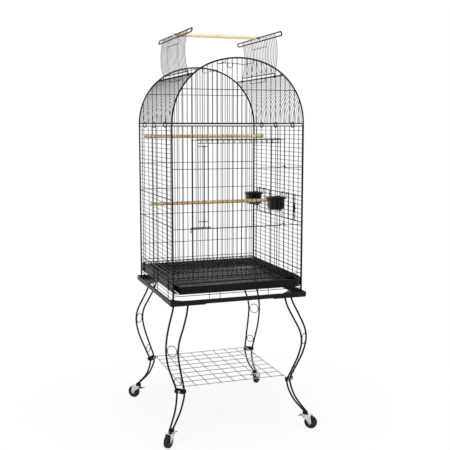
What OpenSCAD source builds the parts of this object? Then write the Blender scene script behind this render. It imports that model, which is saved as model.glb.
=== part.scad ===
// Bird cage with a dome roof that opens, on a rolling four-legged stand.
// Millimetres. +Z is up, the front door faces -Y, and the origin is on the
// floor under the middle of the cage.

/* [Cage body] */
// Width of the cage body over its corner posts
cage_w = 508; // [460:1:560]
// Depth of the cage body over its corner posts
cage_d = 508; // [460:1:560]
// Height of the cage's foot above the floor
cage_z = 520; // [460:1:600]
// Height of the wall panels, up to the middle of their top rails
panel_h = 637; // [620:1:680]
// Thickness of the upright wires
wire_d = 2.4; // [2:0.1:2.8]
// Thickness of the level wires of the side walls and of the roof wires
fine_d = 2.2; // [1.8:0.1:2.6]
// Thickness of the corner posts
post_d = 5; // [4.4:0.1:5.6]
// Thickness of the top and bottom rails
rail_t = 4; // [3:0.1:4.4]
// Thickness of the door jambs and of the heavier level wires
heavy_d = 3.6; // [3:0.1:4]
// Spacing of the front and back uprights
upright_pitch = 18.6; // [17:0.1:21]
// Spacing of the side walls' level wires
level_pitch = 16.3; // [15.4:0.1:17.2]

/* [Front door] */
// Upright spaces between a corner post and the door jamb
jamb_spaces = 4; // [3:1:5]
// Height of the door sill above the cage's foot, in walls of the usual height
sill_h = 271; // [240:1:290]
// Height of the door opening, in walls of the usual height
door_opening_h = 316; // [300:1:326]
// Height of the scroll band at the top of the door
scroll_band_h = 15; // [12:0.5:20]
// Thickness of the latch rod
latch_d = 4; // [3:0.1:5]
// How far the latch lifts
latch_lift = 16; // [8:1:20]

/* [Feeders] */
// Width of a feeder door opening
feeder_w = 130; // [110:1:136]
// Side of the cup's rim that runs away from the wall
cup_w = 66; // [56:1:74]
// Side of the cup's rim that runs along the wall
cup_l = 64; // [56:1:74]
// Height of the cup
cup_h = 50; // [36:1:56]
// Wall of the cup
cup_wall = 2.4; // [1.6:0.1:4]

/* [Perches] */
// Thickness of the two perches in the cage
perch_d = 14; // [10:0.5:18]
// Thickness of the play perch above the roof
play_perch_d = 16; // [14:0.5:20]
// Distance of the lower perch behind the middle of the cage
lower_perch_y = 57; // [56:0.5:57.5]
// Distance of the upper perch behind the middle of the cage
upper_perch_y = 153; // [80:1:180]

/* [Tray and grate] */
// Space between a side of the tray and the back of its runner
tray_side_gap = 12.1; // [11:0.1:13]
// Height of the tray
tray_h = 28; // [20:1:28]
// Wall of the tray
tray_wall = 2; // [1.2:0.1:3]
// How far the tray stands out in front of the cage
tray_proud = 23; // [10:1:40]
// Thickness of the grate's frame
grate_d = 4; // [3:0.1:5]
// Spacing of the grate's wires
grate_pitch = 15; // [12:0.5:20]

/* [Roof] */
// Radius of the roof's shoulders
haunch_r = 230; // [215:1:236]
// Radius of the roof's crown
crown_r = 304; // [290:1:330]
// Thickness of the arches
arch_d = 6; // [5:0.1:7]
// Angle of the hinge rails above the foot of the roof
hinge_a = 50.3; // [46:0.1:54]
// Spacing of the roof wires
roof_pitch = 16; // [14:0.1:18]
// Height of a roof flap above its hinge
flap_h = 158; // [130:1:162]
// Radius that a roof flap bulges with
flap_r = 252; // [240:1:320]
// Width of a roof flap
flap_w = 338; // [300:1:360]
// Length of the perch loop on top of a flap
loop_w = 458; // [400:1:470]
// Height of the perch loop
loop_h = 14; // [12:0.5:18]
// Thickness of the perch loop
loop_d = 5; // [4:0.1:6]

/* [Stand] */
// Height of the angle iron's upright leg
angle_h = 17; // [12:1:24]
// Width of the angle iron's ledge
ledge_w = 22; // [16:1:30]
// Thickness of the angle iron
angle_t = 2; // [1.5:0.1:3]
// Side of a corner gusset
gusset_w = 135; // [110:1:160]
// Thickness of the leg rods
leg_d = 7; // [6:0.1:8]
// Height of the shelf above the floor
shelf_z = 195; // [185:1:200]
// Side of one cell of the shelf's grid
shelf_cell = 50.8; // [46:0.1:51.2]
// Thickness of the shelf's wires
shelf_wire = 3; // [2.4:0.1:4]

/* [Casters] */
// Diameter of a caster wheel
wheel_d = 50; // [46:0.5:51]
// Width of a caster wheel
wheel_w = 18; // [14:0.5:22]
// Distance of the axle behind the caster's stem
trail = 22.5; // [18:0.5:25]
// Thickness of the caster's axle
axle_d = 5; // [4:0.1:6]
// Thickness of the caster's stem
stem_d = 8; // [6:0.1:10]

/* [Hidden] */

// Gap between pieces that rest on or stand beside each other
seat_gap = 0.3;
// Radial gap of a turning or sliding fit
run_gap = 0.06;
// How deep two crossing wires are welded into each other
weld = 0.4;
// Facets of a wire and of a larger round
wire_fn = 24;
round_fn = 48;
coat = [0.12, 0.12, 0.13];
bare = [0.72, 0.73, 0.75];
timber = [0.80, 0.66, 0.47];

// Frame of the stand around the cage's foot
frame_hw = cage_w / 2 + 9.5 + angle_t;
frame_hd = cage_d / 2 + 9.5 + angle_t;
frame_foot = cage_z - angle_t;
gusset_t = 3;
leg_top = frame_foot - gusset_t;

// Walls: the middle lines of the posts
post_x = cage_w / 2 - post_d / 2;
post_y = cage_d / 2 - post_d / 2;
side_post_y = post_y - post_d - seat_gap;
front_n = round(2 * post_x / upright_pitch);
front_step = 2 * post_x / front_n;
level_n = round(panel_h / level_pitch);
level_step = panel_h / level_n;
bar_t = wire_d;
// Share of the usual height that the walls have
wall_k = panel_h / 637;
// Heights of the wires between the tray rail and the top rail
mid_wire_h = 485 * wall_k;
back_levels = [for (h = [84, 151, 273, 379, 486]) h * wall_k];
// Ends of the two feeder openings along the right wall
feeder_front_end = -172;
feeder_rear_end = 202;
feeder_spans = [
    [feeder_front_end, feeder_front_end + feeder_w],
    [feeder_rear_end - feeder_w, feeder_rear_end]
];
side_uprights = [feeder_front_end, -16, 46, feeder_rear_end + 8];
// Levels of the feeder openings' sills and heads, and of the other heavy wire
sill_level = round(level_n * 0.436);
head_level = sill_level + 6;
heavy_levels = [round(level_n * 0.154), sill_level, head_level];

// Front door
jamb_x = post_x - jamb_spaces * front_step;
door_hw = jamb_x - front_step;
door_sill = sill_h * wall_k;
door_head = door_sill + door_opening_h * wall_k;
door_gap = 0.4;
door_y = -(heavy_d / 2 + door_gap + wire_d / 2);
door_bar_y = door_y - wire_d / 2 - bar_t / 2 + weld;
knuckle_d = heavy_d + 5;
knuckle_h = 7;
// A hinge link ends this far from the middle of its jamb
link_end = 1.6;
latch_x = -door_hw + 22;
latch_y = door_bar_y - bar_t / 2 - door_gap - latch_d / 2;
latch_rod = latch_d - 1;
latch_foot = door_sill + 5;

// Tray slot
tray_rail_h = 35;
runner_t = 1.2;
runner_x = post_x - fine_d / 2 + weld - bar_t - seat_gap;
tray_w = 2 * (runner_x - tray_side_gap);
tray_z = cage_z + tray_rail_h + 5;
ledge_z = tray_z + tray_h + 1;
grate_z = ledge_z + runner_t + seat_gap;
slot_top_h = grate_z + grate_d + 11.5 - cage_z;

// Roof
spring_z = cage_z + panel_h + 9.6;
crown_x = cage_w / 2 - haunch_r;
crown_drop = sqrt(pow(crown_r - haunch_r, 2) - pow(crown_x, 2));
crown_a = asin(crown_x / (crown_r - haunch_r));
arch_y = cage_d / 2 - arch_d / 2;
roof_wire_r = haunch_r - fine_d / 2;
roof_rail_r = roof_wire_r - fine_d / 2 - post_d / 2 + weld;
hinge_x = crown_x + roof_rail_r * cos(hinge_a);
hinge_z = spring_z + roof_rail_r * sin(hinge_a);
roof_hd = arch_y - arch_d / 2 - seat_gap;
roof_n = 2 * round(roof_hd / roof_pitch);
roof_step = 2 * (roof_hd - fine_d / 2) / roof_n;
flap_foot = 12;
flap_knuckle_y = 10.5 * roof_step;
flap_knuckle_h = 8;
ledge_leg_x = 53;
ledge_reach = 100;
ledge_r = crown_r - arch_d / 2 - 11;

// Leg line: share of the leg's height, distance outside the frame's corner
// along X and Y, half the space between the two rods
leg_points = [
    [0.00, 2, 5.5], [0.10, -29, 10.5], [0.20, -45, 14.5], [0.27, -46.5, 17], [0.38, -31, 21],
    [0.50, -14, 24.5], [0.62, -5, 25], [0.72, -10, 26.5], [0.82, -27, 30], [0.92, -45, 30], [1.00, -54, 29]
];
socket_h = 9;
leg_foot = wheel_d + 5 + socket_h;
// Sections of a leg rod and sides of each section
sections_n = 30;
leg_sides = 8;
knee_t = 0.265;
ring_heights = [0.636, 0.355];

// ---------- wires ----------

module rod_x(x0, x1, y, z, d) {
    translate([x0, y, z]) rotate([0, 90, 0]) cylinder(d = d, h = x1 - x0, $fn = wire_fn);
}

module rod_y(x, y0, y1, z, d) {
    translate([x, y1, z]) rotate([90, 0, 0]) cylinder(d = d, h = y1 - y0, $fn = wire_fn);
}

module rod_z(x, y, z0, z1, d) {
    translate([x, y, z0]) cylinder(d = d, h = z1 - z0, $fn = wire_fn);
}

module bar_x(x0, x1, y, z, t) {
    translate([x0, y - t / 2, z - t / 2]) cube([x1 - x0, t, t]);
}

module bar_y(x, y0, y1, z, t) {
    translate([x - t / 2, y0, z - t / 2]) cube([t, y1 - y0, t]);
}

module bar_z(x, y, z0, z1, t) {
    translate([x - t / 2, y - t / 2, z0]) cube([t, t, z1 - z0]);
}

// A round wire bent along an arc in the XZ plane, from angle a0 to a1
module arc_xz(cx, cz, r, a0, a1, d) {
    translate([cx, 0, cz]) rotate([90, 0, 0]) rotate([0, 0, a0])
        rotate_extrude(angle = a1 - a0, $fn = 96) translate([r, 0]) circle(d = d, $fn = wire_fn);
}

// A knuckle curled around a jamb, bottom face at z = 0
module knuckle(pin_d, outer_d, h) {
    difference() {
        cylinder(d = outer_d, h = h, $fn = wire_fn);
        translate([0, 0, -1]) cylinder(d = pin_d + 2 * run_gap, h = h + 2, $fn = wire_fn);
    }
}

// Puts a wall drawn facing -Y on another side of the cage
module on_right() {
    translate([post_x, 0, cage_z]) rotate([0, 0, 90]) children();
}

module on_left() {
    translate([-post_x, 0, cage_z]) rotate([0, 0, -90]) children();
}

module on_front() {
    translate([0, -post_y, cage_z]) children();
}

module on_back() {
    translate([0, post_y, cage_z]) rotate([0, 0, 180]) children();
}

// ---------- walls ----------

inner_bar = wire_d / 2 + bar_t / 2 - weld;

// The posts stand clear of the dome's foot rails
post_top = spring_z - rail_t / 2 - seat_gap - cage_z;
side_post_top = spring_z - post_d / 2 - seat_gap - cage_z;

function upright_x(i) = -post_x + i * front_step;

// Half the space between the front posts
front_hw = post_x - post_d / 2 - seat_gap;

module front_posts() {
    color(coat) on_front() for (s = [-1, 1]) rod_z(s * post_x, 0, 0, post_top, post_d);
}

module front_skirt() {
    color(coat) on_front() union() {
        bar_x(-front_hw, front_hw, 0, rail_t / 2, rail_t);
        for (h = [tray_rail_h, tray_rail_h - 7]) bar_x(-front_hw, front_hw, inner_bar, h, bar_t);
        for (x = [-116, -74, 74, 116]) rod_z(x, 0, rail_t / 2, tray_rail_h, wire_d);
    }
}

module front_panel() {
    color(coat) on_front() union() {
        bar_x(-front_hw, front_hw, 0, panel_h, rail_t);
        for (i = [1 : front_n - 1]) {
            beside = i <= jamb_spaces || i >= front_n - jamb_spaces;
            jamb = i == jamb_spaces || i == front_n - jamb_spaces;
            d = jamb ? heavy_d : wire_d;
            rod_z(upright_x(i), 0, slot_top_h, beside ? panel_h : door_sill, d);
            if (!beside) rod_z(upright_x(i), 0, door_head, panel_h, wire_d);
        }
        for (h = [slot_top_h, door_sill]) bar_x(-front_hw, front_hw, inner_bar, h, bar_t);
        bar_x(-jamb_x, jamb_x, inner_bar, door_head, bar_t);
        bar_x(-front_hw, -jamb_x, inner_bar, mid_wire_h, bar_t);
        bar_x(jamb_x, front_hw, inner_bar, mid_wire_h, bar_t);
    }
}

module back_panel() {
    // the level wires end on the posts, clear of the side walls' posts
    level_hw = post_x - 0.32 * post_d;
    color(coat) on_back() union() {
        for (s = [-1, 1]) rod_z(s * post_x, 0, 0, post_top, post_d);
        for (h = [rail_t / 2, panel_h]) bar_x(-post_x, post_x, 0, h, rail_t);
        for (i = [1 : front_n - 1]) rod_z(upright_x(i), 0, rail_t / 2, panel_h, wire_d);
        for (h = concat([tray_rail_h], back_levels)) bar_x(-level_hw, level_hw, inner_bar, h, bar_t);
    }
}

// Posts, rails and level wires of a side wall; openings are spans along the
// wall that stay clear between the sill level and the head level
module side_wall(openings) {
    for (s = [-1, 1]) rod_z(s * side_post_y, 0, 0, side_post_top, post_d);
    bar_x(-side_post_y, side_post_y, 0, rail_t / 2, rail_t);
    bar_x(-side_post_y, side_post_y, 0, panel_h, rail_t);
    for (k = [1 : level_n - 1]) {
        d = len(search(k, heavy_levels)) > 0 ? heavy_d : fine_d;
        cut = len(openings) > 0 && k > sill_level && k < head_level;
        if (!cut) rod_x(-side_post_y, side_post_y, 0, k * level_step, d);
        if (cut) {
            rod_x(-side_post_y, openings[0][0], 0, k * level_step, d);
            rod_x(openings[0][1], openings[1][0], 0, k * level_step, d);
            rod_x(openings[1][1], side_post_y, 0, k * level_step, d);
        }
    }
}

module side_upright(y, z0, z1) {
    bar_z(y, fine_d / 2 + bar_t / 2 - weld, z0, z1, bar_t);
}

module left_panel() {
    color(coat) on_left() union() {
        side_wall([]);
        for (y = side_uprights) side_upright(-y, rail_t / 2, panel_h);
    }
}

module right_panel() {
    color(coat) on_right() union() {
        side_wall(feeder_spans);
        for (y = side_uprights) side_upright(y, rail_t / 2, panel_h);
        for (span = feeder_spans)
            for (y = span) rod_z(y, 0, sill_level * level_step, head_level * level_step, heavy_d);
    }
}

// ---------- front door ----------

door_foot_h = door_sill - 3;
door_top_h = door_head + 4;
band_foot_h = door_top_h - scroll_band_h;
eye_h = 5;
eye_d = latch_d + 4.6;
// The latch's foot rises to just under the lower eye
eye_levels = [latch_foot + latch_rod / 2 + latch_lift + 1.5, band_foot_h - 14];

// An eye that the latch slides in, on a short wire of the door
module door_eye(z) {
    bar_x(-door_hw, latch_x + 16, door_bar_y, z + eye_h / 2, bar_t);
    translate([latch_x, latch_y, z]) knuckle(latch_d, eye_d, eye_h);
}

module front_door() {
    color(coat) on_front() union() {
        for (i = [jamb_spaces + 1 : front_n - jamb_spaces - 1]) {
            edge = i == jamb_spaces + 1 || i == front_n - jamb_spaces - 1;
            rod_z(upright_x(i), door_y, door_foot_h, door_top_h, edge ? heavy_d - weld : wire_d);
        }
        for (h = [door_sill, mid_wire_h]) bar_x(-jamb_x - 6, door_hw + 2, door_bar_y, h, bar_t);
        for (h = [band_foot_h, door_top_h - bar_t / 2])
            bar_x(-door_hw - 2, door_hw + 2, door_bar_y, h, bar_t);
        for (h = eye_levels) door_eye(h);
    }
}

// Two half rings, one above the other, that make an S
module scroll(r, t) {
    rotate([90, 0, 0]) linear_extrude(t, center = true) {
        translate([0, r - t / 2]) half_ring(r, t, 1);
        translate([0, -r + t / 2]) half_ring(r, t, -1);
    }
}

module half_ring(r, t, side) {
    difference() {
        circle(r = r, $fn = wire_fn);
        circle(r = r - t, $fn = wire_fn);
        translate([side > 0 ? 0 : -r - 1, side > 0 ? -r - 1 : 0]) square([r + 1, r + 1]);
    }
}

scroll_t = 1.8;
scroll_r = (scroll_band_h - bar_t * 1.5 - 2 * seat_gap + scroll_t) / 4;
scroll_n = 15;

module door_scrolls() {
    color(coat) on_front() for (i = [0 : scroll_n - 1])
        translate([
            -door_hw + (i + 0.5) * 2 * door_hw / scroll_n,
            door_bar_y - 0.2,
            door_top_h - scroll_band_h / 2 - bar_t / 4
        ]) scroll(scroll_r, scroll_t);
}

module door_knuckles() {
    link_start = front_step - (heavy_d - weld) / 2 - seat_gap;
    color(coat) on_front() for (h = [door_sill, mid_wire_h])
        translate([jamb_x, 0, h + bar_t / 2 + seat_gap]) {
            knuckle(heavy_d, knuckle_d, knuckle_h);
            bar_x(-link_start, -link_end, door_y, knuckle_h / 2, bar_t);
        }
}

module door_latch() {
    color(coat) on_front() union() {
        rod_z(latch_x, latch_y, latch_foot, band_foot_h - 6, latch_d);
        rod_x(-jamb_x - 10, latch_x + 26, latch_y, latch_foot, latch_rod);
        rod_z(-jamb_x - 10, latch_y, latch_foot - 18, latch_foot, latch_rod);
    }
}

// ---------- feeders ----------

feeder_z0 = sill_level * level_step;
feeder_z1 = head_level * level_step;
// How far a feeder door laps over the wires beside and above its opening
feeder_lap = 5;
// The door's uprights stay clear of the heavy wires that it closes against
feeder_stile_d = heavy_d - 2 * door_gap;
// From the door's last upright to the jamb that it turns on
feeder_link = 12;
// The door's handle: its place behind the free edge, height and reach
handle_in = 8;
handle_h = 34;
handle_reach = 9;
handle_y = door_bar_y - bar_t / 2 - heavy_d / 2 + 1;

module feeder_door(span) {
    free = span[0] - feeder_lap;
    hinge = span[1] - feeder_link;
    handle_x = span[0] + handle_in;
    handle_z = (feeder_z0 + feeder_z1) / 2 - 4;
    on_right() union() {
        for (u = [free, (span[0] + hinge) / 2, hinge])
            rod_z(u, door_y, feeder_z0 - feeder_lap, feeder_z1 + feeder_lap, feeder_stile_d);
        for (k = [sill_level : head_level]) bar_x(free, hinge, door_bar_y, k * level_step, bar_t);
        for (k = [sill_level + 1.5, head_level - 1.5])
            translate([span[1], 0, k * level_step - knuckle_h / 2]) {
                knuckle(heavy_d, knuckle_d, knuckle_h);
                bar_x(-feeder_link, -link_end, door_y, knuckle_h / 2, bar_t);
            }
        rod_z(handle_x, handle_y, handle_z - handle_h / 2, handle_z + handle_h / 2, heavy_d);
        rod_x(span[0] - handle_reach, handle_x, handle_y, handle_z, bar_t);
    }
}

module feeder_door_front() {
    color(coat) feeder_door(feeder_spans[0]);
}

module feeder_door_rear() {
    color(coat) feeder_door(feeder_spans[1]);
}

// The cups hang below the openings' heads, nearer to their hinged ends
cup_top = cage_z + feeder_z1 - 13.667;
cup_y = [feeder_spans[0][1] - 46, feeder_spans[1][1] - 52];
cup_lip = 5;
cup_body_w = cup_w - 6;
cup_body_l = cup_l - 6;
cup_gap = 0.4;
holder_t = 3;
holder_z = cup_top - cup_lip - seat_gap;
holder_x = post_x - heavy_d / 2 - seat_gap;
cup_x = holder_x - holder_t - cup_gap - cup_w / 2;
hook_y = 20;

// A rectangle with round corners, made of true arcs
module round_rect(w, l, r) {
    square([w - 2 * r, l], center = true);
    square([w, l - 2 * r], center = true);
    for (sx = [-1, 1]) for (sy = [-1, 1])
        translate([sx * (w / 2 - r), sy * (l / 2 - r)]) circle(r = r, $fn = round_fn);
}

module cup() {
    difference() {
        union() {
            translate([0, 0, cup_top - cup_h]) linear_extrude(cup_h) round_rect(cup_body_w, cup_body_l, 12);
            translate([0, 0, cup_top - cup_lip]) linear_extrude(cup_lip) round_rect(cup_w, cup_l, 14);
        }
        translate([0, 0, cup_top - cup_h + cup_wall]) linear_extrude(cup_h)
            round_rect(cup_body_w - 2 * cup_wall, cup_body_l - 2 * cup_wall, 10);
    }
}

// A wire frame under the cup's lip, hung over the head wire by two hooks,
// with a wire bow under the cup
module cup_holder() {
    w = cup_body_w / 2 + cup_gap + holder_t / 2;
    l = cup_body_l / 2 + cup_gap + holder_t / 2;
    z = holder_z - holder_t / 2;
    bow_z = cup_top - cup_h - seat_gap - holder_t;
    hook_x = holder_x - holder_t / 2;
    hook_z = cage_z + head_level * level_step + heavy_d / 2 + seat_gap;
    union() {
        for (s = [-1, 1]) {
            bar_y(cup_x + s * w, -l - holder_t / 2, l + holder_t / 2, z, holder_t);
            bar_x(cup_x - w, cup_x + w, s * l, z, holder_t);
            bar_x(cup_x + w, hook_x, s * hook_y, z, holder_t);
            bar_z(hook_x, s * hook_y, z - holder_t / 2, hook_z + holder_t, holder_t);
            bar_x(hook_x, post_x + 1, s * hook_y, hook_z + holder_t / 2, holder_t);
            bar_z(cup_x, s * l, bow_z, z, holder_t);
        }
        bar_y(cup_x, -l - holder_t / 2, l + holder_t / 2, bow_z + holder_t / 2, holder_t);
    }
}

module cup_front() {
    color([0.05, 0.05, 0.05]) translate([cup_x, cup_y[0], 0]) cup();
}

module cup_rear() {
    color([0.05, 0.05, 0.05]) translate([cup_x, cup_y[1], 0]) cup();
}

module cup_holder_front() {
    color(coat) translate([0, cup_y[0], 0]) cup_holder();
}

module cup_holder_rear() {
    color(coat) translate([0, cup_y[1], 0]) cup_holder();
}

// ---------- perches ----------

// Each perch lies midway between two level wires
lower_perch_z = cage_z + (sill_level + 3.5) * level_step;
upper_perch_z = cage_z + (level_n - 2.5) * level_step;
perch_hx = runner_x;
screw_d = 4;
screw_depth = 20;

module perch(y, z) {
    difference() {
        rod_x(-perch_hx, perch_hx, y, z, perch_d);
        for (s = [-1, 1]) translate([s * (perch_hx + 1), y, z]) rotate([0, -s * 90, 0])
            cylinder(d = screw_d + 2 * run_gap, h = screw_depth + 1, $fn = wire_fn);
    }
}

module perch_upper() {
    color(timber) perch(upper_perch_y, upper_perch_z);
}

module perch_lower() {
    color(timber) perch(lower_perch_y, lower_perch_z);
}

// A pan-head screw with a washer, from outside the wall into the perch's end
module perch_screw() {
    washer_x = post_x + fine_d / 2 + seat_gap;
    washer_t = 1.5;
    rod_x(perch_hx - screw_depth + 1, washer_x + weld, 0, 0, screw_d);
    rod_x(washer_x, washer_x + washer_t, 0, 0, perch_d + 1);
    rod_x(washer_x + washer_t - weld, washer_x + 4, 0, 0, 2 * screw_d);
}

module perch_screws() {
    color(bare) for (s = [0, 1]) mirror([s, 0, 0]) {
        translate([0, upper_perch_y, upper_perch_z]) perch_screw();
        translate([0, lower_perch_y, lower_perch_z]) perch_screw();
    }
}

// ---------- tray and grate ----------

// A C-shaped steel runner: the tray slides in it and the grate lies on it
module tray_runner() {
    h = ledge_z + runner_t - (tray_z - seat_gap - runner_t);
    len = 2 * (post_y + weld - bar_t - wire_d / 2 - seat_gap);
    translate([0, 0, tray_z - seat_gap - runner_t]) {
        translate([runner_x - runner_t, -len / 2, 0]) cube([runner_t, len, h]);
        translate([runner_x - 14, -len / 2, 0]) cube([14, len, runner_t]);
        translate([runner_x - 10, -len / 2, h - runner_t]) cube([10, len, runner_t]);
    }
}

module tray_runners() {
    color(coat) for (s = [0, 1]) mirror([s, 0, 0]) tray_runner();
}

tray_y0 = -cage_d / 2 - tray_proud;
tray_y1 = cage_d / 2 - 18;

module tray() {
    color([0.06, 0.06, 0.06]) difference() {
        translate([-tray_w / 2, tray_y0, tray_z]) cube([tray_w, tray_y1 - tray_y0, tray_h]);
        translate([-tray_w / 2 + tray_wall, tray_y0 + tray_wall, tray_z + tray_wall])
            cube([tray_w - 2 * tray_wall, tray_y1 - tray_y0 - 2 * tray_wall, tray_h]);
    }
}

grate_hw = runner_x - runner_t;
grate_hd = post_y - bar_t - wire_d / 2 - 2.4;

module grate() {
    z = grate_z + grate_d / 2;
    top = grate_z + grate_d + wire_d / 2 - weld;
    n = round(2 * grate_hw / grate_pitch);
    color(coat) union() {
        for (s = [-1, 1]) {
            bar_y(s * (grate_hw - grate_d / 2), -grate_hd, grate_hd, z, grate_d);
            bar_x(-grate_hw, grate_hw, s * (grate_hd - grate_d / 2), z, grate_d);
        }
        for (i = [1 : 4]) bar_x(-grate_hw, grate_hw, -grate_hd + i * 2 * grate_hd / 5, z, grate_d);
        for (i = [1 : n - 1]) rod_y(-grate_hw + i * 2 * grate_hw / n, -grate_hd, grate_hd, top, wire_d);
    }
}

// ---------- roof ----------

// Part of a flat ring, between the ray through each corner that is given
module ring_sector(r_out, r_in, corners) {
    intersection() {
        difference() {
            circle(r = r_out, $fn = 96);
            circle(r = r_in, $fn = 96);
        }
        polygon(concat([[0, 0]], corners));
    }
}

// One arch in the XZ plane: two shoulders and the crown between them. The cuts
// run along the line through both arcs' centres, well past the outer edge
module arch(d) {
    cut = ceil(2 * crown_r / crown_drop) * [crown_x, crown_drop];
    rotate([90, 0, 0]) linear_extrude(d, center = true) {
        for (s = [-1, 1]) translate([s * crown_x, spring_z])
            ring_sector(haunch_r, haunch_r - d, [[s * cut.y, 0], [s * cut.y, cut.y], [s * cut.x, cut.y]]);
        translate([0, spring_z - crown_drop])
            ring_sector(crown_r, crown_r - d, [cut, [-cut.x, cut.y]]);
    }
}

// Height of the arch's middle line above the point x
function arch_z(x) = abs(x) > (crown_r - arch_d / 2) * sin(crown_a)
    ? spring_z + sqrt(pow(haunch_r - arch_d / 2, 2) - pow(abs(x) - crown_x, 2))
    : spring_z - crown_drop + sqrt(pow(crown_r - arch_d / 2, 2) - pow(x, 2));

lunette_h = 119;

module lunette() {
    // uprights stand at the walls' spacing, all but those that fall on the arch's feet
    half_w = crown_x + sqrt(pow(haunch_r - arch_d / 2, 2) - pow(lunette_h, 2));
    union() {
        arch(arch_d);
        bar_x(-cage_w / 2 + arch_d, cage_w / 2 - arch_d, 0, spring_z, rail_t);
        for (s = [-1, 1]) translate([s * (cage_w / 2 - arch_d), 0, spring_z])
            cube([arch_d, rail_t, rail_t], center = true);
        for (i = [1 : front_n - 1]) rod_z(upright_x(i), 0, spring_z, arch_z(upright_x(i)), wire_d);
        bar_x(-half_w, half_w, inner_bar, spring_z + lunette_h, bar_t);
    }
}

module dome_front() {
    color(coat) translate([0, -arch_y, 0]) lunette();
}

module dome_back() {
    color(coat) translate([0, arch_y, 0]) rotate([0, 0, 180]) lunette();
}

// The right shoulder of the roof: wires bent from the foot rail to the hinge
// rail, with a small stop wire under the hinge rail
module roof_side() {
    foot_x = crown_x + roof_rail_r;
    union() {
        rod_y(foot_x, -roof_hd, roof_hd, spring_z, post_d);
        rod_y(hinge_x, -roof_hd, roof_hd, hinge_z, post_d);
        for (i = [0 : roof_n]) translate([0, -roof_hd + fine_d / 2 + i * roof_step, 0])
            arc_xz(crown_x, spring_z, roof_wire_r, -0.5, hinge_a + 0.5, fine_d);
        for (s = [-1, 1]) bar_z(hinge_x, s * 80, hinge_z - 14, hinge_z, bar_t);
        bar_y(hinge_x, -80, 80, hinge_z - 14, bar_t);
    }
}

module roof_right() {
    color(coat) roof_side();
}

module roof_left() {
    color(coat) mirror([1, 0, 0]) roof_side();
}

// A wire ledge inside each end of the crown, for the closed flaps to lie on,
// with a hook for a toy under its middle
module crown_ledge() {
    leg_a = asin(ledge_leg_x / ledge_r);
    leg_z = spring_z - crown_drop + ledge_r * cos(leg_a);
    hook_r = 9.5;
    hook_top = spring_z - crown_drop + sqrt(pow(ledge_r, 2) - pow(hook_r, 2));
    union() {
        for (s = [-1, 1]) {
            bar_y(s * ledge_leg_x, 0, ledge_reach, leg_z, bar_t);
            translate([s * ledge_leg_x, 0, leg_z]) rotate([0, s * leg_a, 0])
                bar_z(0, bar_t / 2, 0, crown_r - arch_d - ledge_r - seat_gap, bar_t);
            translate([s * hook_r, ledge_reach, 0]) rod_z(0, 0, hook_top - 8, hook_top, fine_d);
        }
        translate([0, ledge_reach, 0]) {
            arc_xz(0, spring_z - crown_drop, ledge_r, 90 - leg_a, 90 + leg_a, wire_d);
            arc_xz(0, hook_top - 8, hook_r, 180, 360, fine_d);
        }
    }
}

module crown_ledges() {
    color(coat) {
        translate([0, -arch_y, 0]) crown_ledge();
        translate([0, arch_y, 0]) mirror([0, 1, 0]) crown_ledge();
    }
}

// Oblong loops that tie the roof's foot rails to the side walls' top rails
module dome_clip() {
    outer = 13;
    inner = 8.4;
    run = spring_z - cage_z - panel_h;
    rotate([90, 0, 0]) linear_extrude(8, center = true) difference() {
        union() {
            for (v = [0, run]) translate([0, v]) circle(d = outer, $fn = round_fn);
            translate([-outer / 2, 0]) square([outer, run]);
        }
        for (v = [0, run]) translate([0, v]) circle(d = inner, $fn = round_fn);
        translate([-inner / 2, 0]) square([inner, run]);
    }
}

module dome_clips() {
    mid_x = (crown_x + roof_rail_r + post_x) / 2;
    color(coat) for (s = [-1, 1]) for (k = [-9.5, 0.5, 9.5])
        translate([s * mid_x, k * roof_step, cage_z + panel_h]) dome_clip();
}

// ---------- roof flaps ----------

flap_c = sqrt(pow(flap_r, 2) - pow((flap_h - flap_foot) / 2, 2));
flap_mid = (flap_h + flap_foot) / 2;
flap_a = asin((flap_h - flap_foot) / 2 / flap_r);
flap_n = round(flap_w / roof_pitch);

// Bulge of the flap at a height above its hinge
function flap_x(h) = sqrt(pow(flap_r, 2) - pow(h - flap_mid, 2)) - flap_c;

// The loop of two rods that carries the play perch
module perch_loop() {
    r = loop_h / 2;
    lean = atan((flap_x(flap_h - loop_h) - flap_x(flap_h)) / loop_h);
    translate([flap_x(flap_h), 0, flap_h]) rotate([0, -lean, 0]) {
        for (z = [0, -loop_h]) rod_y(0, -loop_w / 2 + r, loop_w / 2 - r, z, loop_d);
        for (s = [0, 1]) mirror([0, s, 0]) translate([0, loop_w / 2 - r, -r])
            rotate([0, 90, 0]) rotate_extrude(angle = 180, $fn = round_fn)
                translate([r, 0]) circle(d = loop_d, $fn = wire_fn);
    }
}

// The right flap, in the hinge's own frame
module flap() {
    inner_hw = 75;
    inner_top = flap_h - loop_h - 25;
    union() {
        bar_y(0, -flap_w / 2, flap_w / 2, flap_foot, rail_t);
        for (i = [0 : flap_n]) {
            edge = i == 0 || i == flap_n;
            translate([0, -flap_w / 2 + i * flap_w / flap_n, 0])
                arc_xz(-flap_c, flap_mid, flap_r, -flap_a, flap_a, edge ? wire_d : fine_d);
        }
        for (s = [-1, 1]) bar_z(flap_x(flap_foot) - bar_t, s * inner_hw, flap_foot, flap_foot + 4, bar_t);
        bar_y(flap_x(inner_top) - bar_t + weld, -inner_hw, inner_hw, inner_top, bar_t);
        perch_loop();
        for (s = [-1, 1]) {
            y = s * flap_knuckle_y;
            translate([0, y + flap_knuckle_h / 2, 0]) rotate([90, 0, 0])
                knuckle(post_d, post_d + 4.6, flap_knuckle_h);
            translate([-rail_t / 2, y - flap_knuckle_h / 2, post_d / 2 + 1])
                cube([rail_t, flap_knuckle_h, flap_foot - post_d / 2 - 1]);
        }
    }
}

module roof_flap_right() {
    color(coat) translate([hinge_x, 0, hinge_z]) flap();
}

module roof_flap_left() {
    color(coat) mirror([1, 0, 0]) translate([hinge_x, 0, hinge_z]) flap();
}

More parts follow.
